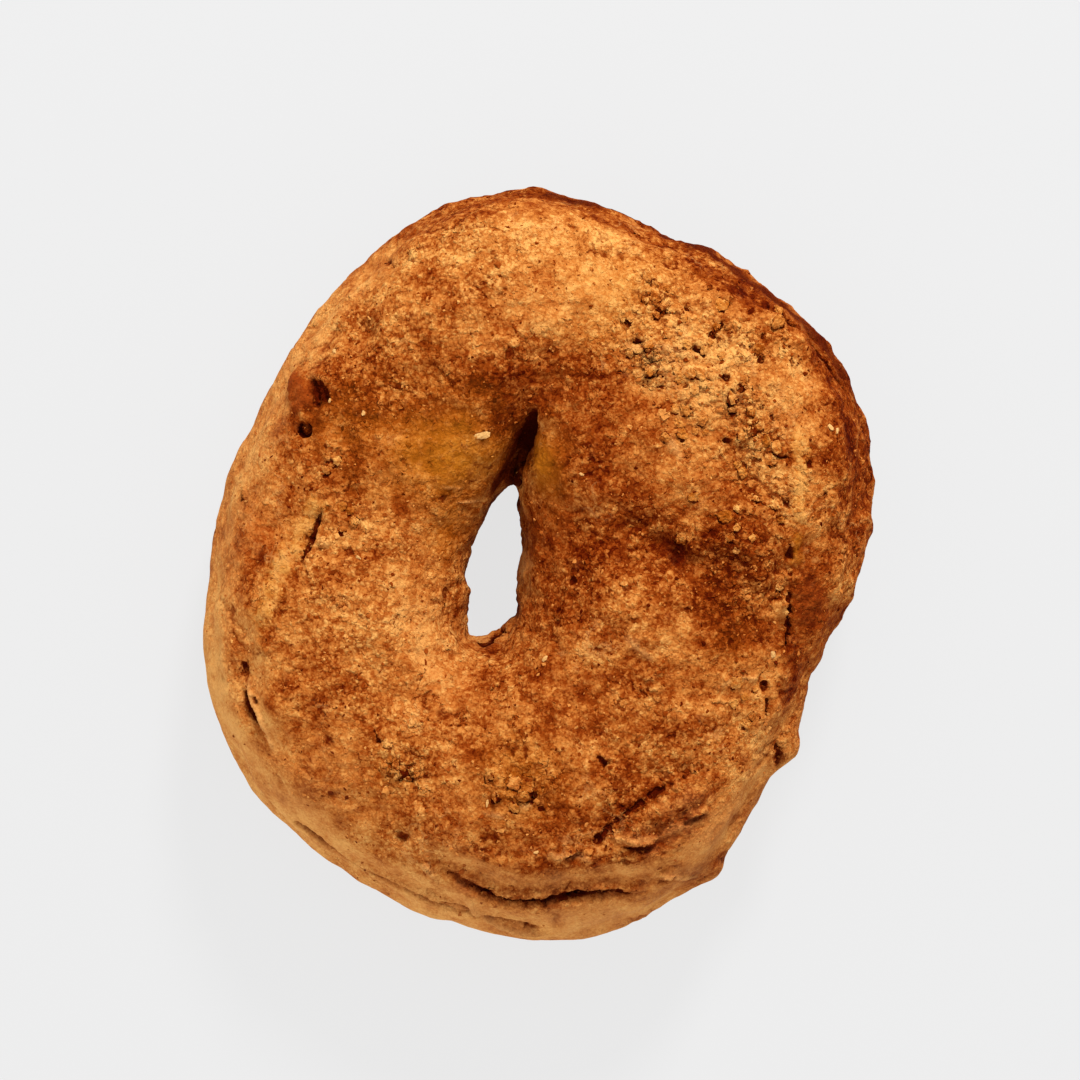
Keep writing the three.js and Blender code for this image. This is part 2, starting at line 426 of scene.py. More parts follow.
@dataclass(frozen=True)
class BakedCrust:
    """The crust: mottled brown over granules, smoother and paler where it stretched, with painted shade
    between the granules, in crevices and pits and on the south sides of the clods.
    """

    name: str = "baked_crust"
    palette: Palette = Palette()
    broad: float = 13.0
    medium: float = 4.2
    fine: float = 1.5
    clod: float = 1.9
    granule: float = 0.66
    grit: float = 0.32
    plate: float = 2.1
    calm: float = 17.0
    vein: float = 7.5
    shred: float = 0.9

    def material(self) -> bpy.types.Material:
        """Returns the crust's material."""
        material, shade = new_material(self.name)
        place = shade.place()
        tint = {kind: shade.attribute(kind.value) for kind in Tint}
        calm = shade.waves(place, self.calm * MM, 1.0).step(-0.7, 0.7)
        rough = (1 - tint[Tint.SMOOTHNESS] * 0.6) * (0.5 + calm * 0.5)
        crumbly = tint[Tint.CRUMBS].clamped()
        bent = shade.bent(place, self.fine * MM, 0.30 * MM)
        granules = shade.cells(bent, self.granule * MM)
        grit = shade.cells(shade.bent(place, self.granule * MM, 0.15 * MM), self.grit * MM)
        torn = shade.bent(place, self.granule * MM, 0.35 * MM)
        clods = shade.cells(torn, self.clod * MM)
        fine = shade.waves(place, self.fine * MM, 3.0)
        medium = shade.waves(place, self.medium * MM, 3.0)
        broad = shade.waves(place, self.broad * MM, 3.0)
        fissures = shade.fissures(place, self.medium * MM, 0.10, 0.3) * rough
        clumped = (medium + 0.2 + crumbly * 0.7).clamped() * rough
        net = shade.net(torn, self.plate * MM, 0.09) * crumbly * (medium + 0.5).clamped()

        # Painted shade: darkening between the granules, round the clods' edges, in pits, cracks and the net
        # of lines, and under the clods.
        granule_gap_shade = granules.distance.step(0.34, 0.60) * (fine * 0.6 + 0.4 + crumbly * 0.2).clamped() * rough
        raised = clods.draw.step(0.35, 0.55) * clumped
        # A painted shadow on the south side of each raised clod, away from the light from the north.
        undercut_shadow = clods.north.step(-0.05, -0.35) * clods.distance.step(0.22, 0.42) * raised
        clod_seam_shade = clods.distance.step(0.42, 0.70) * clumped
        smooth = tint[Tint.SMOOTHNESS].clamped()
        shreds = shade.waves(torn, self.shred * MM, 4.0)
        pitted = shade.frayed(shade.attribute("pit"), shreds, smooth)
        sunk_shade = shade.attribute("gap") * (0.1 + crumbly * 0.25) * rough + pitted * 0.6
        # All the painted shade together.
        dark = (sunk_shade + granule_gap_shade * 0.6 + clod_seam_shade * 0.3 + undercut_shadow * 0.9 + fissures * 0.35 + net * 0.3).clamped()
        uneven = (fine * 0.5 + medium * 0.5 + granules.draw * 0.5 + 0.45).clamped()
        # Painted shade in the crevices, grooves and pits pressed into the crust, with a torn edge.
        hollow = shade.frayed(tint[Tint.CREVICE_SHADE], shreds, smooth) * (granules.draw * 0.6 + 0.55).clamped()
        # Real scorching on the burnt pit, and painted shade in creases and under lumps, with a torn edge.
        scorch_and_shade_share = shade.frayed(tint[Tint.SCORCH_AND_SHADE], shreds, smooth)

        tone = 0.58 + broad * 0.17 + medium * 0.28 + fine * 0.23 * rough
        tone = tone + (clods.draw - 0.5) * 0.30 * clumped + (grit.draw - 0.5) * 0.15
        tone = tone + (granules.draw - 0.5) * 0.29 * rough - tint[Tint.BROWNING_AND_SHADE] * 0.28
        # The painted shade pulls the tone down the ramp and keeps the other tints off the shaded places.
        colour = shade.ramp(tone - dark * 0.30 - hollow * 0.35, self.palette.stops())
        light = 1 - (dark * 0.8 + hollow).clamped()
        colour = shade.mix(tint[Tint.OCHRE] * 0.75 * light, colour, self.palette.ochre)
        reddened = (tint[Tint.REDNESS] + medium * 0.35 + broad * 0.2 - 0.12).clamped()
        colour = shade.mix(reddened * 0.6 * light, colour, self.palette.rust)
        paled = (tint[Tint.PALENESS] + fine * 0.3 - 0.05).clamped() * 0.65 * light
        colour = shade.mix(paled, colour, self.palette.pale)
        veins = shade.fissures(torn, self.vein * MM, 0.07, 0.3) * rough
        colour = shade.mix(veins * 0.45 * light, colour, self.palette.pale)
        # Painted shade: the shaded places turn deep brown, and the crevices deep brown with a burnt-black
        # core.
        colour = shade.mix(dark * dark * 0.7, colour, self.palette.deep)
        depth = (tint[Tint.CREVICE_SHADE] * 1.4 - 0.9 + fine * 0.5 + granules.draw * 0.4).clamped()
        core = shade.mix(depth * 0.8, self.palette.deep, self.palette.burnt)
        colour = shade.mix(hollow, colour, core)
        colour = shade.mix(tint[Tint.BURN] * uneven, colour, self.palette.maroon)
        colour = shade.mix(scorch_and_shade_share, colour, self.palette.burnt)

        knobs = shade.bump(fine - fissures * 0.5 - net * 0.8 + veins * 0.4, 0.40 * MM, 0.7)
        lumps = clods.distance.step(0.6, 0.2) * raised - undercut_shadow * 0.6 + clods.draw * clumped * 0.3
        lumps = lumps - hollow * (1 - smooth) * 0.8 - pitted * 0.4
        lumps = shade.bump(lumps, 0.55 * MM, 0.9, knobs)
        domes = granules.distance.step(0.75, 0.0) * 0.6 + granules.draw * 0.7
        domes = shade.bump(domes * rough, 0.30 * MM, 0.8, lumps)
        normal = shade.bump(grit.distance.step(0.7, 0.0) + grit.draw * 0.5, 0.10 * MM, 0.45, domes)
        shade.surface(
            Base_Color=colour,
            Roughness=(0.80 + fine * 0.08 + tint[Tint.SMOOTHNESS] * -0.12).clamped(),
            Normal=normal,
            Diffuse_Roughness=0.25,
            Specular_IOR_Level=0.02,
        )
        return material


@dataclass(frozen=True)
class BakedCrumb:
    """A crumb stuck to the crust: each one has its own tone, and takes on the tint of its place."""

    name: str = "baked_crumb"
    palette: Palette = Palette()
    grain: float = 0.4

    def material(self) -> bpy.types.Material:
        """Returns the crumbs' material."""
        material, shade = new_material(self.name)
        place = shade.place()
        tint = {kind: shade.attribute(kind.value) for kind in Tint}
        grain = shade.waves(place, self.grain * MM, 2.0)
        tone = shade.attribute("tone") + grain * 0.08 - tint[Tint.BROWNING_AND_SHADE] * 0.18
        colour = shade.ramp(tone, self.palette.stops())
        colour = shade.mix(tint[Tint.OCHRE] * 0.5, colour, self.palette.ochre)
        colour = shade.mix(tint[Tint.REDNESS] * 0.35, colour, self.palette.rust)
        colour = shade.mix(tint[Tint.PALENESS] * 0.3, colour, self.palette.pale)
        # Painted shade where the crumb lies in a crevice or under a lump, and the scorch and painted shade of
        # its place; the burn is real.
        colour = shade.mix(tint[Tint.CREVICE_SHADE] * 0.5, colour, self.palette.deep)
        colour = shade.mix(tint[Tint.BURN] * 0.8, colour, self.palette.maroon)
        colour = shade.mix(tint[Tint.SCORCH_AND_SHADE] * 0.9, colour, self.palette.burnt)
        shade.surface(
            Base_Color=colour,
            Roughness=(0.82 + grain * 0.08).clamped(),
            Normal=shade.bump(grain, 0.10 * MM, 0.7),
            Diffuse_Roughness=0.25,
            Specular_IOR_Level=0.02,
        )
        return material


@dataclass(frozen=True)
class PaleFloor:
    """The floor: near white, with a glow that keeps the shadow on it light."""

    name: str = "pale_floor"
    colour: Colour = (0.060, 0.060, 0.061)
    glow: float = 0.635

    def material(self) -> bpy.types.Material:
        """Returns the floor's material."""
        material, shade = new_material(self.name)
        shade.surface(
            Base_Color=(*self.colour, 1.0),
            Roughness=0.9,
            Specular_IOR_Level=0.1,
            Emission_Color=(1.0, 1.0, 1.0, 1.0),
            Emission_Strength=self.glow,
        )
        return material


# --- Sculpting -------------------------------------------------------------------------------


@dataclass(frozen=True)
class Patch:
    """A part of the crust that is browner, paler, smoother or more crumbly than the rest."""

    name: str
    x: float
    y: float
    reach: float
    tints: dict[Tint, float]


@dataclass(frozen=True)
class Dimple:
    """A round bump or pit, which may have a raised ring round it."""

    name: str
    x: float
    y: float
    reach: float
    rise: float
    ring: float = 0.0
    tints: dict[Tint, float] = field(default_factory=dict)
    steepness: float = 2.0


@dataclass(frozen=True)
class Cluster:
    """A cluster of clods with dark arcs of painted shadow on their lower sides."""

    name: str
    x: float
    y: float
    reach: float
    count: int


@dataclass(frozen=True)
class Fold:
    """A groove or, with a positive rise, a ridge along a path. A lip may stand beside a groove."""

    name: str
    path: tuple[Place, ...]
    rise: float
    width: float = 0.8
    lip: float = 0.0
    towards: Place = NORTH
    ragged: float = 0.5
    tints: dict[Tint, float] = field(default_factory=dict)


@dataclass(frozen=True)
class Swell:
    """A swelling of a steep wall or, with a negative rise, a hollow, along an upright line."""

    name: str
    x: float
    y: float
    reach: float
    rise: float
    low: float = 6.0
    high: float = 26.0
    tints: dict[Tint, float] = field(default_factory=dict)


def lobe(distance: Array, reach: float, steepness: float = 2.0) -> Array:
    """Returns a smooth bump: 1 at no distance, about a third at the reach."""
    return np.exp(-(np.abs(distance / reach) ** steepness))


def rounded(path: Iterable[Place], times: int = 2) -> Array:
    """Cuts the corners of a path.

    Args:
        path: The path's points.
        times: How many times each corner is cut.

    Returns:
        The rounded path's points.
    """
    points = np.array(path, float)
    for _ in range(times):
        near = 0.75 * points[:-1] + 0.25 * points[1:]
        far = 0.25 * points[:-1] + 0.75 * points[1:]
        middle = np.stack([near, far], axis=1).reshape(-1, points.shape[1])
        points = np.concatenate([points[:1], middle, points[-1:]])
    return points


def evenly(points: Array, spacing: float) -> Array:
    """Returns points at an even spacing along a path."""
    steps = np.linalg.norm(np.diff(points, axis=0), axis=1)
    travel = np.concatenate([[0.0], np.cumsum(steps)])
    wanted = np.linspace(0.0, travel[-1], max(2, round(travel[-1] / spacing) + 1))
    return np.stack([np.interp(wanted, travel, points[:, axis]) for axis in range(points.shape[1])], axis=1)


class Clay:
    """A mesh's points, which marks are pressed into, in millimetres."""

    LOOK_FROM = 100.0
    SAMPLE_SPACING = 0.4
    LIP_OFFSET = 1.7
    FRAY_LENGTH = 1.6
    FINE_FRAY_LENGTH = 0.55
    TAPER = 0.15
    CHANGE_LENGTH = 3.5
    USUAL_STRENGTH = 1.0
    STRENGTH_CHANGE = 0.7
    LEAST_STRENGTH = 0.3
    MOST_STRENGTH = 1.3
    PATCH_MARGIN = 2.6
    PATCH_FRAY = 0.35
    PATCH_FRAY_LENGTH = 5.0
    DIMPLE_MARGIN = 3
    DIMPLE_FRAY = 0.25
    RING_DISTANCE = 1.3
    RING_WIDTH = 0.5
    SWELL_MARGIN = 3
    SWELL_FRAY = 0.3
    FOLD_MARGIN = 5

    def __init__(self, mesh: bpy.types.Mesh) -> None:
        """Reads the mesh's points and normals."""
        count = len(mesh.vertices)
        points = np.empty(count * 3, np.float32)
        mesh.vertices.foreach_get("co", points)
        normals = np.empty(count * 3, np.float32)
        mesh.vertex_normals.foreach_get("vector", normals)
        self.mesh = mesh
        self.points = points.reshape(-1, 3).astype(float) / MM
        self.normals = normals.reshape(-1, 3).astype(float)
        self.rise = np.zeros(count)
        self.tints = {tint: np.zeros(count) for tint in Tint}
        faces = [tuple(polygon.vertices) for polygon in mesh.polygons]
        self.tree = BVHTree.FromPolygons(self.points.tolist(), faces)

    def lift(self, place: Iterable[float]) -> Array | None:
        """Returns the point of the surface under a place, or nothing beside the surface."""
        spot = self.lift_facing(place)
        return None if spot is None else spot[0]

    def lift_facing(self, place: Iterable[float]) -> tuple[Array, Array] | None:
        """Returns the point of the surface under a place and its normal, or nothing beside the surface."""
        x, y = place
        point, normal, _, _ = self.tree.ray_cast(Vector((x, y, self.LOOK_FROM)), DOWNWARD)
        return None if point is None else (np.array(point), np.array(normal))

    def fray(self, indices: Array, length: float) -> Array:
        """Returns a noise between -1 and 1 at some of the points."""
        return np.array([noise.noise(Vector(point / length)) for point in self.points[indices]])

    def near(self, line: Array, margin: float) -> tuple[Array, Array, Array]:
        """Finds the points near a line.

        Args:
            line: Points of the line.
            margin: How far from the line points are looked for.

        Returns:
            The points' indices, their distances from the line, and which point of the line is nearest.
        """
        inside = np.all((self.points > line.min(0) - margin) & (self.points < line.max(0) + margin), axis=1)
        indices = np.flatnonzero(inside)
        apart = np.linalg.norm(self.points[indices, None] - line[None], axis=2)
        nearest = apart.argmin(1)
        return indices, apart[np.arange(len(indices)), nearest], nearest

    def colour(self, indices: Array, cover: Array, tints: dict[Tint, float]) -> None:
        """Adds tints to some of the points, by how much each point is covered."""
        for tint, strength in tints.items():
            self.tints[tint][indices] += strength * cover

    def patch(self, patch: Patch) -> None:
        """Tints the crust round a place, out to a frayed edge."""
        centre = self.lift((patch.x, patch.y))
        if centre is None:
            return
        indices, distance, _ = self.near(centre[None], self.PATCH_MARGIN * patch.reach)
        distance = distance * (1 + self.PATCH_FRAY * self.fray(indices, self.PATCH_FRAY_LENGTH))
        self.colour(indices, lobe(distance, patch.reach), patch.tints)

    def dimple(self, dimple: Dimple) -> None:
        """Presses a bump or a pit."""
        centre = self.lift((dimple.x, dimple.y))
        if centre is None:
            return
        indices, distance, _ = self.near(centre[None], self.DIMPLE_MARGIN * dimple.reach)
        distance = distance * (1 + self.DIMPLE_FRAY * self.fray(indices, dimple.reach))
        beside = distance - self.RING_DISTANCE * dimple.reach
        ring = dimple.ring * lobe(beside, self.RING_WIDTH * dimple.reach)
        self.rise[indices] += dimple.rise * lobe(distance, dimple.reach, dimple.steepness) + ring
        self.colour(indices, lobe(distance, 1.1 * dimple.reach), dimple.tints)

    def swell(self, swell: Swell) -> None:
        """Swells the wall beside an upright line."""
        heights = np.arange(swell.low, swell.high, self.SAMPLE_SPACING)
        line = np.column_stack([np.full(len(heights), swell.x), np.full(len(heights), swell.y), heights])
        indices, distance, _ = self.near(line, self.SWELL_MARGIN * swell.reach)
        distance = distance * (1 + self.SWELL_FRAY * self.fray(indices, self.FRAY_LENGTH))
        self.rise[indices] += swell.rise * lobe(distance, swell.reach)
        self.colour(indices, lobe(distance, 1.2 * swell.reach), swell.tints)

    def fold(self, fold: Fold) -> None:
        """Presses a groove, or raises a ridge, along a path."""
        samples = [self.lift(place) for place in evenly(rounded(fold.path), self.SAMPLE_SPACING)]
        line = np.array([sample for sample in samples if sample is not None])
        if not len(line):
            return
        indices, distance, nearest = self.near(line, self.FOLD_MARGIN * fold.width)
        fray = self.fray(indices, self.FRAY_LENGTH) + self.fray(indices, self.FINE_FRAY_LENGTH)
        distance = np.abs(distance + fold.ragged * fold.width * fray)
        strength = self.strengths(line)[nearest]
        side = (self.points[indices] - line[nearest])[:, :2] @ np.array(fold.towards)
        side = np.clip(side / np.maximum(distance, fold.width), 0.0, 1.0)
        lip = fold.lip * side * lobe(distance - self.LIP_OFFSET * fold.width, fold.width)
        groove = fold.rise * lobe(distance, fold.width * (0.6 + 0.4 * strength))
        self.rise[indices] += strength * (groove + lip)
        self.colour(indices, strength * lobe(distance, 0.9 * fold.width), fold.tints)

    def strengths(self, line: Array) -> Array:
        """Returns how strong a fold is along its line: uneven, and dying out at its ends."""
        travel = np.linspace(0.0, 1.0, len(line))
        ends = np.clip(np.minimum(travel, 1 - travel) / self.TAPER, 0.0, 1.0)
        change = [noise.noise(Vector(point / self.CHANGE_LENGTH)) for point in line]
        usual = self.USUAL_STRENGTH + self.STRENGTH_CHANGE * np.array(change)
        return ends * np.clip(usual, self.LEAST_STRENGTH, self.MOST_STRENGTH)

    def finish(self) -> None:
        """Moves the mesh's points out by their rise and stores the tints as attributes."""
        moved = (self.points + self.normals * self.rise[:, None]) * MM
        moved[:, 2] = np.maximum(moved[:, 2], 0.0)
        self.mesh.vertices.foreach_set("co", moved.astype(np.float32).ravel())
        for tint, amounts in self.tints.items():
            attribute = self.mesh.attributes.new(tint.value, "FLOAT", "POINT")
            low = -1.0 if tint is Tint.BROWNING_AND_SHADE else 0.0
            attribute.data.foreach_set("value", np.clip(amounts, low, 1.0).astype(np.float32))
        self.mesh.update()


# --- Geometry Nodes --------------------------------------------------------------------------


class Geometry(Nodes):
    """Adds the nodes of a Geometry Nodes tree, with named inputs."""

    SOCKETS = {
        float: "NodeSocketFloat",
        int: "NodeSocketInt",
        bpy.types.Material: "NodeSocketMaterial",
    }

    def attribute(self, name: str) -> Value:
        """Returns a named attribute of the geometry."""
        node = self.add("GeometryNodeInputNamedAttribute", {"data_type": "FLOAT"}, {"Name": name})
        return self.value(node.outputs["Attribute"])

    def store(self, geometry: Any, name: str, value: Value) -> bpy.types.NodeSocket:
        """Stores a value as a named attribute of the points, and returns the geometry."""
        settings = {"data_type": "FLOAT", "domain": "POINT"}
        inputs = {"Geometry": geometry, "Name": name, "Value": value}
        return self.add("GeometryNodeStoreNamedAttribute", settings, inputs).outputs["Geometry"]

    def place(self) -> bpy.types.NodeSocket:
        """Returns the position field."""
        return self.add("GeometryNodeInputPosition").outputs["Position"]

    def height(self) -> Value:
        """Returns the height above the base, in metres."""
        return self.axis(self.place(), 2)

    def upwardness(self) -> Value:
        """Returns how far the surface faces upwards, from -1 to 1."""
        normal = self.add("GeometryNodeInputNormal").outputs["Normal"]
        return self.axis(normal, 2)

    def scaled(self, vector: Any, factor: Any) -> bpy.types.NodeSocket:
        """Returns a vector times a number."""
        return self.vector_maths("SCALE", {0: vector, 3: factor})

    def moved(self, geometry: Any, offset: Any) -> bpy.types.NodeSocket:
        """Returns the geometry with its points moved by an offset."""
        return self.add("GeometryNodeSetPosition", None, {"Geometry": geometry, "Offset": offset}).outputs[0]

    def draw(self, low: Any, high: Any, seed: Any) -> Value:
        """Returns a random number for each point."""
        node = self.add("FunctionNodeRandomValue", {"data_type": "FLOAT"}, {2: low, 3: high, 8: seed})
        return self.value(node.outputs[1])

    def draw_vector(self, low: float, high: float, seed: Any) -> bpy.types.NodeSocket:
        """Returns a random vector for each point."""
        inputs = {0: (low, low, low), 1: (high, high, high), 8: seed}
        return self.add("FunctionNodeRandomValue", {"data_type": "FLOAT_VECTOR"}, inputs).outputs[0]


def new_geometry_tree(name: str, inputs: dict[str, Any]) -> tuple[Geometry, dict[str, Any]]:
    """Makes a Geometry Nodes tree.

    Args:
        name: The tree's name.
        inputs: The type of each input, by the input's name, after the geometry.

    Returns:
        The tree's builder and the sockets of its inputs, numbers as values.
    """
    tree = bpy.data.node_groups.new(name, "GeometryNodeTree")
    tree.interface.new_socket("Geometry", in_out="INPUT", socket_type="NodeSocketGeometry")
    for title, kind in inputs.items():
        tree.interface.new_socket(title, in_out="INPUT", socket_type=Geometry.SOCKETS[kind])
    tree.interface.new_socket("Geometry", in_out="OUTPUT", socket_type="NodeSocketGeometry")
    nodes = Geometry(tree)
    group = nodes.add("NodeGroupInput")
    numbers = [title for title, kind in inputs.items() if kind in (float, int)]
    sockets = {socket.name: socket for socket in group.outputs if socket.name}
    return nodes, {title: nodes.value(s) if title in numbers else s for title, s in sockets.items()}


def end_tree(nodes: Geometry, geometry: Any, material: Any, smooth: bool) -> bpy.types.NodeTree:
    """Ends a tree.

    Args:
        nodes: The tree's builder.
        geometry: The geometry, with or without instances.
        material: The socket of the material.
        smooth: Whether the faces are shaded smooth.

    Returns:
        The tree.
    """
    real = nodes.add("GeometryNodeRealizeInstances", None, {"Geometry": geometry}).outputs[0]
    inputs = {"Geometry": real, "Shade Smooth": smooth}
    shaded = nodes.add("GeometryNodeSetShadeSmooth", None, inputs).outputs[0]
    inputs = {"Geometry": shaded, "Material": material}
    dressed = nodes.add("GeometryNodeSetMaterial", None, inputs).outputs[0]
    nodes.add("NodeGroupOutput", None, {"Geometry": dressed})
    return nodes.tree


def linked(name: str, data: bpy.types.ID) -> bpy.types.Object:
    """Makes an object and links it to the scene.

    Args:
        name: The object's name.
        data: Its mesh, camera or light.

    Returns:
        The object.
    """
    made = bpy.data.objects.new(name, data)
    bpy.context.scene.collection.objects.link(made)
    return made


def built(name: str, form: bmesh.types.BMesh, material: bpy.types.Material) -> bpy.types.Object:
    """Turns a form into an object, and frees the form.

    Args:
        name: The name of the mesh and the object.
        form: The form.
        material: The object's material.

    Returns:
        The object.
    """
    mesh = bpy.data.meshes.new(name)
    form.to_mesh(mesh)
    form.free()
    mesh.materials.append(material)
    return linked(name, mesh)


def grown(
    mesh: bpy.types.Mesh, tree: bpy.types.NodeTree, values: dict[str, Any], name: str
) -> bpy.types.Object:
    """Runs a Geometry Nodes tree on a mesh.

    Args:
        mesh: The mesh that the tree starts from.
        tree: The tree.
        values: A value for each of the tree's inputs, by its name.
        name: The name of the new piece.

    Returns:
        The result as a piece with a plain mesh.
    """
    carrier = linked(name + "_carrier", mesh)
    modifier = carrier.modifiers.new(tree.name, "NODES")
    modifier.node_group = tree
    for item in tree.interface.items_tree:
        if item.item_type == "SOCKET" and item.in_out == "INPUT" and item.name in values:
            modifier[item.identifier] = values[item.name]
    depsgraph = bpy.context.evaluated_depsgraph_get()
    result = bpy.data.meshes.new_from_object(
        carrier.evaluated_get(depsgraph), preserve_all_data_layers=True, depsgraph=depsgraph
    )
    carrier.modifiers.remove(modifier)
    bpy.data.objects.remove(carrier)
    result.name = name
    return linked(name, result)


def finish_piece(piece: bpy.types.Object) -> bpy.types.Object:
    """Makes a piece ride with the bagel and reports its triangles.

    Args:
        piece: The finished piece.

    Returns:
        The same piece.
    """
    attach(piece, BODY)
    triangles = sum(len(polygon.vertices) - 2 for polygon in piece.data.polygons)
    log.info("%s: %d triangles", piece.name, triangles)
    return piece


# --- The clods -------------------------------------------------------------------------------


@dataclass(frozen=True)
class Clod:
    """A lump of dough that stands out of the crust."""

    x: float
    y: float
    reach: float
    turn: float
    sweep: float
    depth: float


@dataclass
class Clods:
    """The torn lumps of dough that stand in clusters, with dark arcs of painted shadow on their lower sides.
    """

    name: str = "crust_clods"
    reach: Span = (0.55, 1.15)
    turn: Span = (3.3, 4.0)
    sweep: Span = (1.2, 2.6)
    depth: Span = (0.5, 1.0)
    spread: float = 0.55
    apart: float = 0.85
    sink: float = 0.12
    height: float = 0.60
    roughness: tuple[Span, ...] = ((1.2, 0.45), (2.8, 0.35), (6.5, 0.20))
    subdivisions: int = 3
    lightness: Span = (-0.1, 0.9)
    ochre: Span = (0.0, 0.4)
    foot_shade: float = 0.9
    seed: int = 7
    finish: BakedCrust = BakedCrust("baked_clod")

    clusters: tuple[Cluster, ...] = (
        Cluster("on the golden shoulder", 19.9, 44.6, 4.0, 12),
        Cluster("above the clumps", 19.2, 34.5, 3.2, 12),
        Cluster("clumps", 34.0, 28.7, 3.4, 14),
        Cluster("lower clumps", 35.4, 23.4, 2.4, 5),
        Cluster("left of the lower clumps", 25.0, 22.0, 5.0, 10),
        Cluster("by the ridge", 40.2, 21.2, 2.0, 3),
        Cluster("between the clumps", 26.5, 37.5, 8.0, 22),
        Cluster("rim lumps", 41.0, 41.0, 4.5, 6),
        Cluster("lower left", -23.0, -34.0, 3.5, 9),
        Cluster("lower crown", -4.5, -37.5, 3.8, 9),
        Cluster("hot spot", 41.8, -3.5, 3.0, 6),
        Cluster("left crown", -32.0, 9.0, 3.2, 6),
        Cluster("below the blister", -35.5, 18.0, 2.8, 4),
        Cluster("right arm", 34.0, 8.0, 9.0, 18),
        Cluster("lower right", 36.0, -22.0, 5.0, 8),
    )

    def places(self) -> list[Clod]:
        """Returns the clods: scattered round the middles of their clusters, none over another."""
        chance = np.random.default_rng(self.seed)
        clods: list[Clod] = []
        for cluster in self.clusters:
            for _ in range(cluster.count):
                x, y = chance.normal((cluster.x, cluster.y), self.spread * cluster.reach)
                clod = Clod(
                    x=x,
                    y=y,
                    reach=chance.uniform(*self.reach),
                    turn=chance.uniform(*self.turn),
                    sweep=chance.uniform(*self.sweep),
                    depth=chance.uniform(*self.depth),
                )
                if all(np.hypot(x - o.x, y - o.y) > self.apart * (clod.reach + o.reach) for o in clods):
                    clods.append(clod)
        return clods

    def undercut_shadows(self) -> tuple[Fold, ...]:
        """Returns the dark arcs of painted shadow on the clods' lower, south sides, as grooves in the crust.
        """
        arcs = []
        for clod in self.places():
            angles = clod.turn + clod.sweep * np.linspace(0.0, 1.0, 5)
            path = [
                (clod.x + clod.reach * np.cos(turn), clod.y + clod.reach * np.sin(turn))
                for turn in angles
            ]
            tints = {Tint.CREVICE_SHADE: 1.3 * clod.depth, Tint.SCORCH_AND_SHADE: 0.4 * clod.depth}
            arcs.append(Fold("undercut_shadow", tuple(path), -0.35 * clod.depth, 0.38, ragged=0.7, tints=tints))
        return tuple(arcs)

    def build(self, crust: bpy.types.Object) -> bpy.types.Object:
        """Sets the clods on the crust.

        Args:
            crust: The crust that they stand out of.

        Returns:
            All the clods as one piece.
        """
        clay = Clay(crust.data)
        chance = np.random.default_rng(self.seed + 1)
        form = bmesh.new()
        kinds = (Tint.BROWNING_AND_SHADE, Tint.OCHRE, Tint.CREVICE_SHADE)
        layers = [form.verts.layers.float.new(kind.value) for kind in kinds]
        for clod in self.places():
            spot = clay.lift_facing((clod.x, clod.y))
            draws = chance.uniform(0.0, 1.0, 8)
            if spot is not None:
                self.add_clod(form, clod, spot, draws, layers)
        return finish_piece(built(self.name, form, self.finish.material()))

    def add_clod(self, form: bmesh.types.BMesh, clod: Clod, spot: tuple, draws: Array, layers: list) -> None:
        """Adds one clod.

        Args:
            form: The mesh that holds all the clods.
            clod: The clod.
            spot: The point of the crust under it, and the crust's normal there.
            draws: Random numbers between 0 and 1.
            layers: The mesh's layers for the browning, the ochre and the painted shade at the clod's foot.
        """
        point, normal = spot
        corners = bmesh.ops.create_icosphere(form, subdivisions=self.subdivisions, radius=1.0)["verts"]
        turned = Matrix.Rotation(FULL_TURN * draws[0], 3, "Z")
        frame_of = Vector(normal).to_track_quat("Z", "Y").to_matrix() @ turned
        wide, deep = 0.8 + 0.45 * draws[1], 0.75 + 0.35 * draws[2]
        shift = Vector(draws[3:6]) * 40
        browning = -self.lightness[0] - (self.lightness[1] - self.lightness[0]) * draws[6]
        ochre = self.ochre[0] + (self.ochre[1] - self.ochre[0]) * draws[7]
        for corner in corners:
            way = corner.co.copy()
            size = 1 + sum(amount * noise.noise(way * rate + shift) for rate, amount in self.roughness)
            local = Vector((way.x * wide, way.y * deep, way.z * self.height)) * size * clod.reach
            local.z -= self.sink * clod.reach
            corner[layers[0]] = browning
            corner[layers[1]] = ochre
            # Painted shade at the foot of the clod, where it meets the crust.
            corner[layers[2]] = self.foot_shade * float(np.clip(0.15 - local.z / clod.reach, 0.0, 0.5)) * 2
            corner.co = (Vector(point) + frame_of @ local) * MM


# --- The crust -------------------------------------------------------------------------------


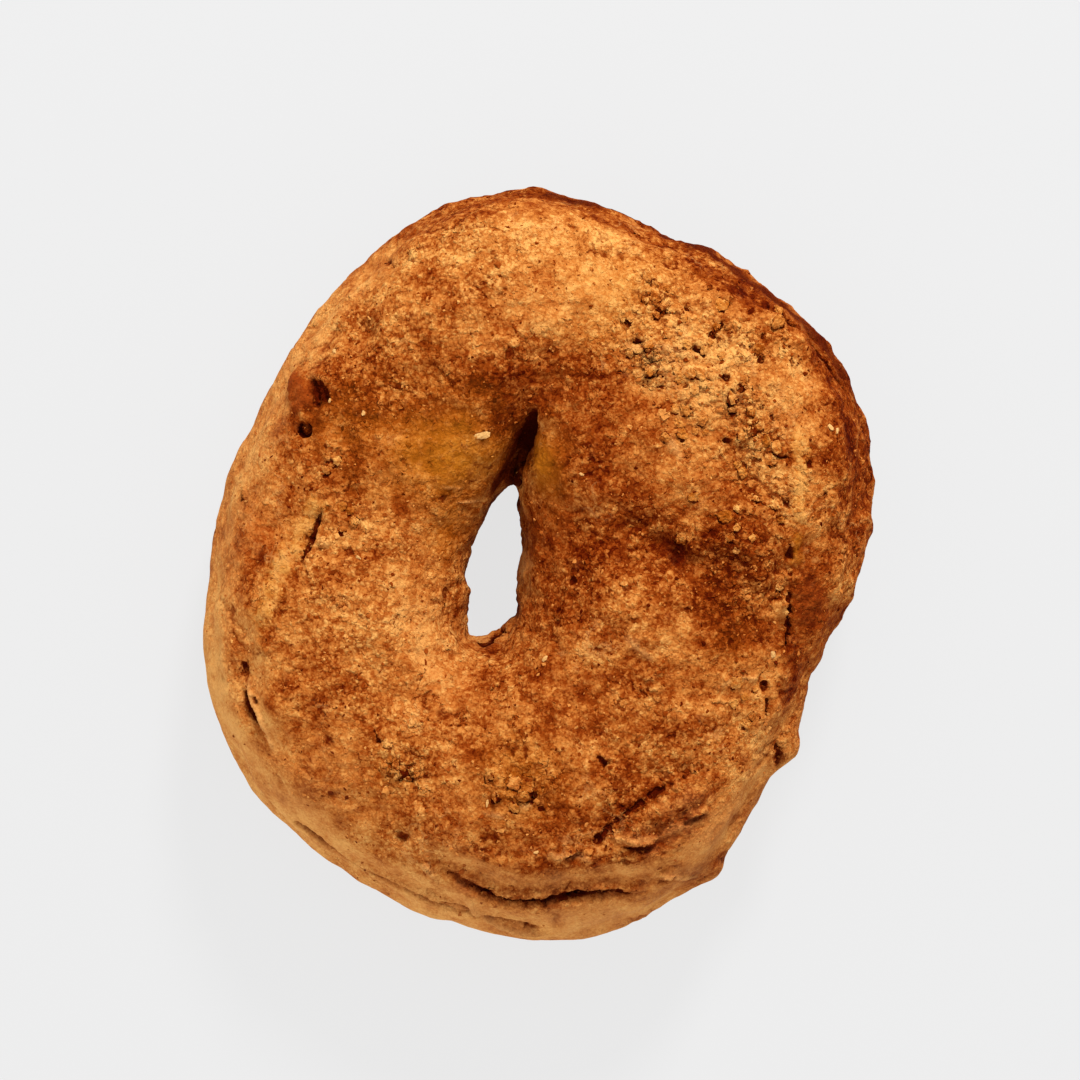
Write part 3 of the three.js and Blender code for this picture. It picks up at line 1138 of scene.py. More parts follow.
@dataclass
class Crust:
    """The bagel's crust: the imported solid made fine, with its folds, pits and granules."""

    name: str = "bagel_crust"
    weld: float = 0.01
    underside: float = 6.0
    flank: float = 19.0
    top_edge: float = 1.10
    mark_edge: float = 0.53
    mark_reach: float = 1.2
    flank_edge: float = 1.6
    underside_edge: float = 2.6
    refinements: int = 4
    flank_top: float = 19.0
    flank_bottom: float = 9.0
    flank_slope: Span = (0.45, 0.9)
    flank_smoothness: float = 0.7
    # The sides' paleness and lightness stand partly for light thrown up from around, and the dark side's
    # browning partly for shade.
    steep_paleness: float = 0.32
    low_paleness: float = 0.2
    dark_side_browning: float = 0.4
    light_side_lightness: float = 0.35
    dark_side: Place = (0.73, 0.68)
    any_angle: float = 3.2
    lump: Span = (9.0, 0.85)
    knob: Span = (3.4, 0.58)
    granule: Span = (1.8, 0.48)
    pit: Span = (2.3, 0.45)
    fissure_length: float = 6.5
    base_dent: Span = (4.0, 0.35)
    base_fade: float = 4.0
    clods: Clods = field(default_factory=Clods)
    finish: BakedCrust = BakedCrust()

    patches: tuple[Patch, ...] = (
        Patch("golden shoulder", 15, 46, 9, {Tint.BROWNING_AND_SHADE: -0.7, Tint.OCHRE: 0.2}),
        Patch("upper right", 29, 37, 12, {Tint.BROWNING_AND_SHADE: -0.7, Tint.CRUMBS: 0.35}),
        Patch("right of the clumps", 38, 29, 8, {Tint.BROWNING_AND_SHADE: -0.4, Tint.CRUMBS: 0.2}),
        Patch("below the clumps", 28, 19, 8, {Tint.BROWNING_AND_SHADE: -0.45, Tint.CRUMBS: 0.4}),
        Patch("right of the seam", 12, 27, 7, {Tint.BROWNING_AND_SHADE: 0.35, Tint.CRUMBS: 0.3}),
        Patch("upper right clumps", 34.5, 26.5, 4, {Tint.CRUMBS: 0.7}),
        Patch("clumps above them", 19.2, 34.5, 3.5, {Tint.CRUMBS: 0.7}),
        Patch("pitted top", 19.9, 44.0, 4, {Tint.CRUMBS: 0.6}),
        Patch("upper right rim", 50, 25, 8, {Tint.BROWNING_AND_SHADE: 0.15, Tint.REDNESS: 0.2}),
        Patch("burnt spot on the rim", 42, 45, 3, {Tint.BURN: 0.5}),
        Patch("second burnt spot on the rim", 47, 40.5, 3, {Tint.BURN: 0.5}),
        # Painted shade in the valley at the head of the crease.
        Patch("head of the crease", -2.0, 23.5, 4.0, {Tint.BROWNING_AND_SHADE: 0.9, Tint.CREVICE_SHADE: 0.15}),
        Patch("valley left of the crease", -23, 22, 9, {Tint.BROWNING_AND_SHADE: 0.3, Tint.OCHRE: 0.2}),
        Patch("right of the blister", -34, 25, 6, {Tint.BROWNING_AND_SHADE: 0.5, Tint.OCHRE: 0.2}),
        Patch("stretched skin left of the crease", -14, 18, 8, {Tint.OCHRE: 0.9, Tint.SMOOTHNESS: 0.5}),
        Patch("hole's left wall", -14, 6, 6, {Tint.OCHRE: 0.3, Tint.SMOOTHNESS: 0.4}),
        Patch("wall right of the crease", 0.5, 17.5, 4.5, {Tint.OCHRE: 1.0, Tint.SMOOTHNESS: 0.9,
            Tint.BROWNING_AND_SHADE: 0.4}),
        Patch("wall right of the hole", 1, 5, 6, {Tint.BROWNING_AND_SHADE: 0.45, Tint.REDNESS: 0.3,
            Tint.SMOOTHNESS: 0.3}),
        Patch("left of the hole", -19, -12, 9, {Tint.REDNESS: 0.3, Tint.BROWNING_AND_SHADE: -0.7}),
        Patch("below the hole", -14, -22, 9, {Tint.REDNESS: 0.3, Tint.BROWNING_AND_SHADE: -0.1}),
        Patch("left crown", -32, -12, 8, {Tint.REDNESS: 0.1, Tint.BROWNING_AND_SHADE: -0.5}),
        Patch("round the blister", -39, 29, 5, {Tint.BROWNING_AND_SHADE: 0.4, Tint.REDNESS: 0.3}),
        Patch("left of the stretched band", -48.5, 4, 6, {Tint.BROWNING_AND_SHADE: 0.8, Tint.REDNESS: 0.4}),
        Patch("hot spot on the right", 33.5, 1.5, 5.5, {Tint.BROWNING_AND_SHADE: 0.5, Tint.REDNESS: 0.2,
            Tint.CRUMBS: 0.6}),
        Patch("foot of the hot spot", 33, -13, 4, {Tint.BROWNING_AND_SHADE: 1.2, Tint.OCHRE: 0.12}),
        Patch("right of the hot spot", 46.5, -5.5, 5, {Tint.BROWNING_AND_SHADE: 0.8, Tint.REDNESS: 0.7,
            Tint.CRUMBS: 0.3}),
        Patch("burnt spot under it", 46, -8.5, 2.6, {Tint.BROWNING_AND_SHADE: 0.6, Tint.BURN: 0.4}),
        Patch("right rim", 57, 5, 7, {Tint.BROWNING_AND_SHADE: 0.1, Tint.REDNESS: 0.3}),
        Patch("lower hot spot", 31.5, -6, 5, {Tint.BROWNING_AND_SHADE: 0.55, Tint.OCHRE: 0.06, Tint.CRUMBS: 0.3}),
        Patch("lower crown", -3, -36, 6, {Tint.OCHRE: 0.35, Tint.CRUMBS: 0.8, Tint.BROWNING_AND_SHADE: 0.2}),
        Patch("lower left cluster", -23, -34, 4, {Tint.CRUMBS: 0.8, Tint.OCHRE: 0.2, Tint.BROWNING_AND_SHADE: -0.2}),
        Patch("lower right arm", 18, -22, 8, {Tint.BROWNING_AND_SHADE: 0.1, Tint.CRUMBS: 0.1}),
        Patch("lower right bulge", 28, -46, 8, {Tint.PALENESS: 0.3, Tint.SMOOTHNESS: 0.8,
            Tint.BROWNING_AND_SHADE: 0.2}),
        # The flank patches below are partly paler dough and partly painted light, lightening the lower sides
        # as light from around would.
        Patch("bottom flank", 9, -61, 12, {Tint.PALENESS: 0.4, Tint.SMOOTHNESS: 0.6}),
        Patch("bottom left flank", -15, -57, 12, {Tint.BROWNING_AND_SHADE: -0.3, Tint.PALENESS: 0.3,
            Tint.SMOOTHNESS: 0.4}),
        Patch("lower left flank", -42, -42, 11, {Tint.BROWNING_AND_SHADE: -0.5, Tint.PALENESS: 0.3,
            Tint.SMOOTHNESS: 0.6}),
        Patch("left flank", -56, -20, 12, {Tint.BROWNING_AND_SHADE: -0.4, Tint.PALENESS: 0.2, Tint.SMOOTHNESS: 0.5}),
    )

    # Patches that are only browner or lighter, a few of them painted shade as marked: a name, x, y, the
    # reach, and the browning.
    browned: tuple[tuple[str, float, float, float, float], ...] = (
        ("upper left", -26, 44, 14, -0.2), ("top", 0, 51, 14, -0.5),
        ("between the ridge and the rim", 42, 24.5, 4, 0.4),
        ("light strip by the ridge", 40.5, 14.5, 3, -0.4), ("dark foot of the ridge", 46.5, 1, 4, 0.6),
        ("left of the crevice's foot", 40, -13.5, 3, 0.6), ("right of the crevice's foot", 45, -16, 4, 0.8),
        ("light spot on the right rim", 51.5, -4, 4, -1.0), ("light spot above it", 54.5, 20.5, 3.5, -0.5),
        ("left of the ridge", 32, 14.5, 3.5, 0.5), ("light crust right of it", 38, 15, 3, -0.4),
        ("light crust above the wall", 11.5, 23.5, 3, -0.2), ("above the seam", 11.5, 35, 5, 0.6),
        ("light crust by the clumps", 33.5, 40, 4, -0.4), ("light crust by the rim", 10.8, 57, 3.5, -1.1),
        # Left of the crease: painted shade in the valley at the head of the crease.
        ("light crust further along", 23, 53.5, 3.5, -1.0), ("left of the crease", -6.0, 24.5, 4, 1.0),
        ("brown spot left of it", -19, 16, 3, 0.3), ("upper left shoulder", -13, 54, 8, -0.4),
        # Valley above the crease and lower valley: painted shade on slopes that face away from the light.
        ("valley above the crease", -5, 35, 7, 0.5), ("lower valley", -2, 30, 6, 0.4),
        ("left of the valley", -29, 32, 6, 0.2), ("light crust left of the hole", -20, 5, 5, -0.4),
        # Foot of the hole: painted shadow of the hole's wall.
        ("above the wall right of the crease", 6, 17, 6, 0.6), ("foot of the hole", -8.0, -14.5, 2.2, 1.2),
        ("below the hole, on the right", 2, -22, 8, 0.4), ("light spot on the left crown", -31.5, 6, 6, -0.6),
        # Hollow on the right arm and its left end: painted shade in a valley turned from the light.
        ("hollow on the right arm", 24.0, 1.0, 2.6, 0.9), ("hollow's left end", 15, 6, 7, 0.7),
        ("swelling below the hollow", 20.5, -11, 4, -0.4), ("right of the hole's foot", 5, -4, 7, 0.4),
        ("above the hot spot", 32, 8.5, 5, 0.35), ("round the golden lump", 40, -7.5, 2.5, -0.6),
        ("golden crust below the lump", 37, -20, 6, -0.7), ("brown skirt", 8, -40, 7, 0.5),
        ("foot of the slanting crack", 17.5, -47.5, 2.5, 1.0),
        ("light spot at its left end", 12, -44.5, 2, -0.5), ("right end of the skirt", 25.5, -41, 3, 0.1),
        ("light spot right of it", 33, -37.5, 3, -0.5), ("light crust above its right end", 19, -38, 3, -0.5),
        ("light crust on the lower right", 37, -32, 4, -0.1),
        ("beside the lower right crevice", 43, -21, 4, 0.6),
        ("left of the lower right crevice", 33, -22.5, 3, 0.6), ("middle of the skirt", 2, -49, 6, 0.5),
        ("light crust on the skirt", -3, -42, 3, -0.5),
        ("light crust on the lower crown", -3, -30.5, 3, -0.5),
        ("left of the lower crown", -12, -36.5, 3.5, -0.5), ("left end of the skirt", -15, -45, 6, 0.4),
        ("lower left crown", -35, -36, 6, 0.2), ("light spot on the lower left", -46, -27, 4, -0.5),
        ("brown spot above it", -37.5, -26.5, 4, 0.5), ("above the skirt", 10, -28, 5, -0.4),
        ("above the long lip", -6.5, -52, 4, 0.3), ("under the long lip", -13, -58.5, 3, 0.5),
        ("by the tip", 28, -54, 5, 0.9), ("left of the blister", -43.5, 24, 5, 0.5),
        ("below the blister", -31, 17, 7, 0.3), ("light crust above the blister", -31, 42.5, 4, -0.3),
        ("brown spot near the top", -24, 53, 4, 0.3), ("light crust above the valley", 2, 37, 4, -0.4),
        ("below the band", -45, -13, 3, 0.5), ("lower left rim", -38, -38.5, 5, 0.6),
        ("light crust on the left", -48, -17, 5, -0.4),
        ("beside the lower left cluster", -26, -31, 3, -0.3),
    )

    # The crevice tints of the pits, dents and hollows below are painted shade.
    dimples: tuple[Dimple, ...] = (
        Dimple("golden lump", 42.1, -6.8, 1.6, 0.8, 0.0, {Tint.BROWNING_AND_SHADE: -1.3}, 3.0),
        Dimple("beside the blister", -37.6, 28.9, 1.6, -1.1, 0.2, {Tint.BURN: 0.3, Tint.CREVICE_SHADE: 0.3,
            Tint.BROWNING_AND_SHADE: 0.8}),
        Dimple("burnt pit", -39.8, 23.4, 1.2, -0.5, 0.2, {Tint.BROWNING_AND_SHADE: 0.8}),
        Dimple("middle of the burnt pit", -39.8, 23.4, 0.6, 0.4, 0.0, {Tint.SCORCH_AND_SHADE: -3.0,
            Tint.CREVICE_SHADE: -2.0}),
        Dimple("tan bump by the pit", -39.9, 25.8, 0.75, 0.7, 0.0, {Tint.BROWNING_AND_SHADE: -1.6, Tint.BURN: -1.0}),
        Dimple("rim lump", 40.7, 41.9, 1.5, 1.1, 0.0, {Tint.BROWNING_AND_SHADE: -0.8}),
        Dimple("second rim lump", 44.3, 38.6, 1.6, 1.1, 0.0, {Tint.BROWNING_AND_SHADE: -0.8}),
        Dimple("pit by the slanting crack", 10.2, -46.2, 0.55, -0.8, 0.1, {Tint.CREVICE_SHADE: 1.1}),
        Dimple("soft dark hollow", -35.5, -29.5, 1.6, -0.5, 0.0, {Tint.CREVICE_SHADE: 0.5}),
        Dimple("lower left dent", -22.9, -46.2, 1.7, -0.8, 0.2, {Tint.CREVICE_SHADE: 0.7}),
        Dimple("dent by the hole", 5.7, -2.5, 0.7, -0.6, 0.1, {Tint.CREVICE_SHADE: 0.8}),
        Dimple("pit beside the ridge", 42.1, 10.4, 0.9, -0.8, 0.2, {Tint.CREVICE_SHADE: 1.0}),
        Dimple("pit across the ridge", 46.0, 17.2, 0.7, -0.7, 0.2, {Tint.CREVICE_SHADE: 1.0}),
        Dimple("pit on the far right", 48.9, 12.0, 0.6, -0.6, 0.1, {Tint.CREVICE_SHADE: 0.9}),
    )

    knobs: tuple[Spot, ...] = (
        (-23.2, -34.4, 1.5), (-20.8, -34.2, 1.0), (-26.0, -31.4, 0.9), (-25.9, -34.1, 0.7),
        (-1.8, -37.9, 1.5), (-6.4, -37.7, 1.2), (-7.0, -35.4, 1.2), (19.6, 33.3, 1.3), (18.6, 36.0, 1.2),
        (34.3, 27.5, 1.2), (35.6, 25.7, 1.1), (32.3, 29.8, 1.0), (42.2, -2.3, 1.3), (40.9, -1.8, 1.0),
        (43.9, -1.6, 0.9), (42.0, -6.2, 0.9), (-38.7, -1.5, 0.8), (-50.1, 9.1, 0.9), (-47.0, -13.6, 0.9),
        (-34.5, -38.0, 0.6), (27.4, 37.6, 1.2), (20.9, 45.1, 1.1), (-36.2, 4.1, 0.8),
    )

    # Short grooves under lumps, each given by its path, darkened by painted shadow on the side away from the
    # light.
    undercut_shadows: tuple[tuple[Place, ...], ...] = (
        ((17.6, 49.1), (18.9, 47.9), (20.3, 46.9)), ((17.4, 45.1), (18.4, 44.0), (19.4, 44.5)),
        ((19.5, 43.5), (21.3, 42.6), (22.5, 43.3)), ((24.6, 44.8), (25.6, 42.9)),
        ((31.4, 44.8), (32.8, 44.2)), ((14.9, 41.8), (15.7, 40.1)),
        ((15.8, 38.6), (17.0, 37.5), (18.5, 38.2)), ((26.1, 37.0), (27.3, 35.9), (28.6, 36.2)),
        ((29.2, 39.7), (30.3, 38.9)), ((30.9, 41.5), (31.5, 40.3)),
        ((17.8, 35.3), (19.5, 34.3), (20.9, 34.6)), ((18.4, 31.8), (19.9, 31.9), (20.5, 33.5)),
        ((28.2, 31.8), (29.6, 30.9)), ((31.1, 32.5), (31.7, 31.4), (32.8, 32.0)),
        ((33.6, 30.8), (34.7, 29.0)), ((36.0, 30.0), (35.4, 28.0), (36.7, 27.3)),
        ((31.8, 27.8), (32.8, 26.2), (33.9, 24.9)), ((37.0, 35.6), (38.4, 34.7)),
        ((38.2, 39.6), (38.1, 38.1)), ((39.3, 40.8), (40.7, 40.0)),
        ((41.5, 38.2), (42.6, 37.5), (43.2, 36.6)), ((39.3, 25.8), (39.9, 24.2)),
        ((34.1, 22.6), (35.4, 21.7), (36.9, 22.1)), ((39.5, 19.0), (41.0, 18.2), (42.3, 18.6)),
        ((31.0, 21.7), (32.5, 20.6)), ((-27.7, -27.4), (-27.2, -29.1), (-26.1, -29.9)),
        ((-24.4, -35.7), (-22.6, -36.0), (-21.7, -34.7)), ((-21.5, -35.9), (-20.6, -36.8)),
        ((-3.3, -39.6), (-1.8, -39.7), (-0.6, -39.4), (-0.1, -37.7)), ((-9.2, -35.4), (-8.4, -37.1)),
        ((-7.6, -39.1), (-6.0, -39.7)), ((0.4, -40.5), (0.9, -41.7)),
        ((10.0, -31.8), (10.8, -32.9), (11.9, -33.7)), ((42.7, 4.0), (42.9, 1.0)),
        ((-51.5, 13.5), (-51.1, 11.0)), ((-50.5, -16.2), (-50.3, -18.4)), ((-48.5, -22.3), (-47.9, -23.9)),
        ((38.6, -19.6), (39.2, -21.4)),
    )

    # Softer ones on the flank, browned as painted shade.
    soft_undercut_shadows: tuple[tuple[Place, ...], ...] = (
        ((14.5, -47.5), (16.9, -48.0), (18.6, -48.1), (20.3, -47.7)),
        ((24.6, -44.2), (26.0, -43.4), (27.5, -42.9), (29.1, -42.2)),
        ((20.6, -54.3), (22.1, -54.3), (23.8, -53.5)), ((4.2, -49.5), (5.7, -49.7), (7.9, -48.7)),
        ((-17.2, -57.9), (-14.9, -58.3), (-12.9, -58.4), (-11.5, -59.6)),
    )

    # The crevice and scorch tints of the grooves below are painted shade.
    folds: tuple[Fold, ...] = (
        Fold("crease above the hole", ((-3.4, 11.5), (-2.9, 14.0), (-2.7, 16.8), (-2.4, 19.4), (-1.7, 22.1),
            (-0.8, 23.9), (-0.1, 27.5)), -1.3, 0.9, ragged=0.25, tints={Tint.CREVICE_SHADE: 1.2, Tint.SCORCH_AND_SHADE: 0.7,
            Tint.SMOOTHNESS: 0.7}),
        # Painted shade: the wall left of the crease, turned from the light, darkened, browned and reddened.
        Fold("dark wall left of the crease", ((-9.0, 11.5), (-7.0, 14.5), (-5.2, 18.0), (-3.4, 21.0),
            (-1.6, 24.5)), 0.0, 2.0, ragged=0.3, tints={Tint.CREVICE_SHADE: 0.6, Tint.BROWNING_AND_SHADE: 0.6,
            Tint.REDNESS: 0.4, Tint.SMOOTHNESS: 1.0}),
        # Painted shadow of the hole's wall at the hole's foot.
        Fold("crevice below the hole", ((-12.2, -13.2), (-10.0, -13.8), (-8.7, -13.9), (-7.4, -12.6),
            (-5.6, -11.3)), -0.8, 0.8, ragged=0.4, tints={Tint.CREVICE_SHADE: 1.4, Tint.SCORCH_AND_SHADE: 0.7}),
        Fold("seam valley", ((0.6, 28.2), (5.6, 30.4), (10.6, 31.8)), -0.4, 1.3,
            tints={Tint.BROWNING_AND_SHADE: 0.3}),
        Fold("long lip", ((-16.3, -51.2), (-14.5, -52.8), (-11.5, -55.0), (-8.1, -56.8), (-4.2, -57.8),
            (1.8, -57.5), (7.5, -56.2), (14.8, -56.4)), -1.7, 0.85, 0.8, tints={Tint.CREVICE_SHADE: 0.8,
            Tint.BROWNING_AND_SHADE: 0.6}),
        # These two pale ridges are partly paler dough and partly painted highlight, where their north-facing
        # slopes catch the light.
        Fold("ridge under the long lip", ((-12.3, -56.6), (-10.9, -59.2), (-9.4, -61.0), (-5.5, -63.4),
            (-1.0, -64.4), (2.4, -64.6)), 0.7, 0.6, tints={Tint.PALENESS: 0.9}),
        Fold("ridge left of the long lip", ((-19.5, -50.7), (-18.2, -52.5), (-17.0, -54.5)), 0.6, 0.5,
            tints={Tint.PALENESS: 0.9}),
        Fold("rim line", ((-42.3, -44.1), (-35.0, -51.0), (-24.9, -55.5), (-16.7, -59.3), (-5.1, -61.6),
            (0.0, -63.0)), -1.4, 0.75, 0.8, tints={Tint.CREVICE_SHADE: 0.6, Tint.BROWNING_AND_SHADE: 0.6}),
        Fold("slanting crack", ((9.6, -46.9), (11.3, -44.9), (14.5, -42.5), (16.5, -40.5), (19.4, -38.6),
            (22.4, -37.2), (25.7, -35.4)), -0.9, 0.36, 0.7, SOUTH, 0.9, {Tint.CREVICE_SHADE: 0.75,
            Tint.BROWNING_AND_SHADE: 0.8}),
        # Painted shade on the broad slope above the slanting crack.
        Fold("shade above the slanting crack", ((9.0, -46.0), (13.7, -42.2), (18.6, -38.3), (25.2, -34.6),
            (29.5, -33.5)), -0.4, 1.7, tints={Tint.BROWNING_AND_SHADE: 0.8}),
        Fold("swelling below the crack", ((11.5, -47.5), (15.5, -45.0), (20.0, -42.3), (25.0, -39.5),
            (30.5, -37.5)), 0.9, 1.8, ragged=0.5, tints={Tint.BROWNING_AND_SHADE: 0.1, Tint.PALENESS: 0.1}),
        # Partly paler dough and partly painted highlight, where the lip's north-facing edge catches the
        # light.
        Fold("pale lip below the crack", ((10.5, -46.9), (12.7, -45.9), (14.8, -46.3), (17.5, -46.6),
            (20.7, -46.2), (24.3, -44.3), (27.5, -43.0), (30.5, -41.4)), 0.6, 0.7, ragged=0.6,
            tints={Tint.BROWNING_AND_SHADE: -0.3, Tint.PALENESS: 0.4}),
        Fold("short pale lip", ((1.4, -48.6), (4.0, -49.3), (6.4, -49.0), (9.2, -50.1)), 0.6, 0.55,
            tints={Tint.PALENESS: 0.9, Tint.BROWNING_AND_SHADE: -0.6}),
        Fold("upper fold of the flank", ((3.3, -57.8), (6.6, -56.8), (9.8, -55.7), (12.9, -55.6),
            (16.0, -56.4), (17.6, -56.0)), -0.9, 0.6, 0.6, tints={Tint.CREVICE_SHADE: 1.0}),
        Fold("pale line on the flank", ((19.5, -53.4), (21.9, -53.2), (25.0, -54.0), (28.4, -54.3)), 0.4,
            0.45, tints={Tint.PALENESS: 0.8, Tint.BROWNING_AND_SHADE: -0.3}),
        Fold("reddish crack by the tip", ((28.2, -55.8), (29.6, -54.6), (31.0, -53.7)), -0.5, 0.5,
            tints={Tint.REDNESS: 1.0, Tint.CREVICE_SHADE: 0.3}),
        Fold("right crevice", ((43.2, -3.6), (43.0, -6.0), (42.9, -8.9), (42.9, -11.5), (42.7, -14.6)),
            -1.3, 0.5, 0.7, WEST, 0.9, {Tint.CREVICE_SHADE: 1.2, Tint.SCORCH_AND_SHADE: 0.3}),
        Fold("lower right crevice", ((39.4, -22.5), (39.4, -25.0), (38.6, -27.2)), -1.1, 0.45, 0.5, WEST,
            tints={Tint.CREVICE_SHADE: 1.3}),
        Fold("pale line on the lower right", ((30.6, -21.2), (31.5, -20.2), (33.5, -19.0), (36.1, -19.1),
            (38.7, -19.5)), 0.45, 0.4, tints={Tint.PALENESS: 0.8, Tint.BROWNING_AND_SHADE: -0.4}),
        Fold("crag crevice", ((41.6, -30.9), (42.7, -34.0), (42.2, -36.3)), -1.3, 0.7,
            tints={Tint.CREVICE_SHADE: 0.8, Tint.BROWNING_AND_SHADE: 0.5}),
        Fold("pale ridge on the right", ((43.6, 24.8), (44.2, 19.5), (44.5, 15.8), (43.8, 11.2),
            (44.4, 6.0)), 0.45, 1.0, ragged=1.2, tints={Tint.PALENESS: 0.35, Tint.OCHRE: 0.6,
            Tint.BROWNING_AND_SHADE: -1.1}),
        Fold("dull end of the ridge", ((44.2, 6.2), (44.0, 3.0), (44.0, -0.4)), 0.2, 1.1, ragged=0.8,
            tints={Tint.OCHRE: 0.6, Tint.SMOOTHNESS: 0.6}),
        Fold("upper right rim groove", ((37.4, 45.0), (39.6, 43.5), (43.5, 41.4), (46.8, 38.9),
            (50.0, 35.6), (52.8, 31.6), (54.6, 28.0)), -1.2, 0.8, 0.4, EAST, tints={Tint.CREVICE_SHADE: 1.0,
            Tint.BURN: 0.3}),
        # The rim and the band inside it are partly burnt and partly painted shadow along the north and east
        # rim.
        Fold("burnt and shaded rim", ((-9.0, 65.4), (-3.0, 65.2), (4.0, 64.6), (10.7, 63.3), (18.3, 60.8),
            (25.1, 57.1), (31.6, 53.0), (38.7, 48.2), (45.4, 42.9), (50.6, 38.0), (55.0, 31.3),
            (57.0, 25.0)), 0.0, 2.2, ragged=0.5, tints={Tint.BURN: 1.0, Tint.BROWNING_AND_SHADE: 0.8}),
        Fold("shaded brown band inside the rim", ((3.5, 62.0), (12.0, 59.5), (20.5, 55.5), (28.5, 51.0),
            (36.0, 46.3), (43.0, 41.0), (48.6, 35.0), (52.5, 28.0), (55.2, 18.0), (56.0, 8.0),
            (54.5, -2.0)), 0.0, 2.6, ragged=0.6, tints={Tint.BROWNING_AND_SHADE: 0.8, Tint.PALENESS: -0.8}),
        Fold("blister", ((-42.3, 33.6), (-41.4, 31.0), (-40.8, 28.8), (-40.0, 26.4)), 0.9, 1.7, ragged=0.8,
            tints={Tint.BURN: 0.35, Tint.BROWNING_AND_SHADE: 1.2, Tint.REDNESS: 1.2, Tint.PALENESS: -1.0}),
        Fold("hollow beside the blister", ((-38.9, 32.6), (-38.0, 30.4), (-37.7, 28.4), (-37.9, 26.6)),
            -1.0, 0.8, tints={Tint.CREVICE_SHADE: 0.6, Tint.BROWNING_AND_SHADE: 1.0}),
        Fold("wrinkle in the hollow", ((-37.4, 32.2), (-36.3, 30.2), (-36.2, 27.8)), -0.7, 0.5, 0.3, WEST,
            tints={Tint.CREVICE_SHADE: 0.9}),
        Fold("ring of the burnt pit", ((-39.8, 24.4), (-38.9, 24.1), (-38.7, 23.3), (-39.1, 22.5),
            (-39.9, 22.3), (-40.7, 22.7), (-40.9, 23.5), (-40.5, 24.3), (-39.6, 24.5)), -0.8, 0.34,
            ragged=0.3, tints={Tint.SCORCH_AND_SHADE: 1.6, Tint.CREVICE_SHADE: 0.6}),
        Fold("left stretch crack", ((-36.2, 10.0), (-37.7, 7.1), (-38.3, 5.1), (-39.0, 3.1), (-40.4, 0.1)),
            -1.3, 0.6, 0.6, EAST, tints={Tint.CREVICE_SHADE: 1.3}),
        Fold("left stretched band", ((-34.8, 12.8), (-38.0, 9.3), (-40.6, 5.6), (-42.5, 2.2), (-44.5, -1.6),
            (-46.1, -6.0), (-47.4, -9.3), (-48.4, -13.0)), 0.45, 1.6, ragged=1.0, tints={Tint.PALENESS: 0.4,
            Tint.BROWNING_AND_SHADE: -0.9, Tint.OCHRE: 0.7}),
        Fold("streak beside the left crack", ((-36.9, 4.8), (-36.1, 3.7), (-35.5, 2.9)), 0.5, 0.6,
            tints={Tint.PALENESS: 0.7, Tint.BROWNING_AND_SHADE: -0.9}),
        # Painted shade in the valley on the right arm, turned from the light.
        Fold("hollow on the right arm", ((18.5, 4.8), (20.9, 3.6), (23.3, 2.2), (25.5, 0.6), (27.7, -0.9)),
            -1.0, 1.8, tints={Tint.CREVICE_SHADE: 0.35, Tint.SMOOTHNESS: 0.4}),
        Fold("first vein", ((14.2, 35.9), (17.2, 37.1), (20.9, 36.6), (25.7, 35.7), (28.3, 35.2)), 0.35,
            0.5, tints={Tint.PALENESS: 0.9}),
        Fold("second vein", ((24.7, 42.1), (25.0, 39.4), (25.8, 37.1)), 0.35, 0.45,
            tints={Tint.PALENESS: 0.9}),
        Fold("third vein", ((35.3, 36.6), (36.2, 34.7), (36.7, 31.6)), 0.35, 0.45,
            tints={Tint.PALENESS: 0.9}),
        Fold("fourth vein", ((20.9, 22.4), (22.5, 20.8), (24.4, 17.6)), 0.35, 0.6,
            tints={Tint.PALENESS: 1.0}),
        Fold("fifth vein", ((14.6, -11.6), (17.2, -14.0), (19.7, -16.0)), 0.35, 0.7,
            tints={Tint.PALENESS: 0.9}),
        Fold("left groove", ((-50.5, -20.8), (-49.9, -24.0), (-48.8, -25.8), (-47.8, -27.5),
            (-47.0, -29.0)), -1.3, 0.7, 0.5, EAST, tints={Tint.CREVICE_SHADE: 0.9}),
        Fold("lip of the left groove", ((-49.7, -18.6), (-48.9, -23.1), (-47.2, -26.0), (-46.1, -29.0),
            (-45.2, -32.2)), 0.6, 0.55, tints={Tint.PALENESS: 1.0}),
        Fold("lower left dash", ((-42.5, -44.5), (-38.5, -47.5)), -0.8, 0.7, tints={Tint.CREVICE_SHADE: 0.8}),
        Fold("low dash", ((-2.6, -62.9), (0.4, -63.3)), -0.5, 0.6, tints={Tint.CREVICE_SHADE: 0.6}),
        Fold("top notch", ((-26.4, 53.3), (-24.5, 51.0)), -0.8, 0.8, tints={Tint.CREVICE_SHADE: 0.7}),
        Fold("stretch streak", ((-16.6, 13.6), (-12.5, 13.2)), 0.3, 0.3, tints={Tint.PALENESS: 1.0}),
        Fold("lower stretch streak", ((-14.2, 10.8), (-9.6, 11.4)), 0.3, 0.3, tints={Tint.PALENESS: 1.0}),
        Fold("lower pale rim", ((-4.4, -40.1), (-2.6, -40.6), (-0.6, -40.2)), 0.3, 0.35,
            tints={Tint.PALENESS: 1.0}),
        Fold("pale rim left of it", ((-9.6, -41.4), (-7.6, -42.2), (-5.4, -42.4)), 0.4, 0.4,
            tints={Tint.PALENESS: 0.9}),
    )

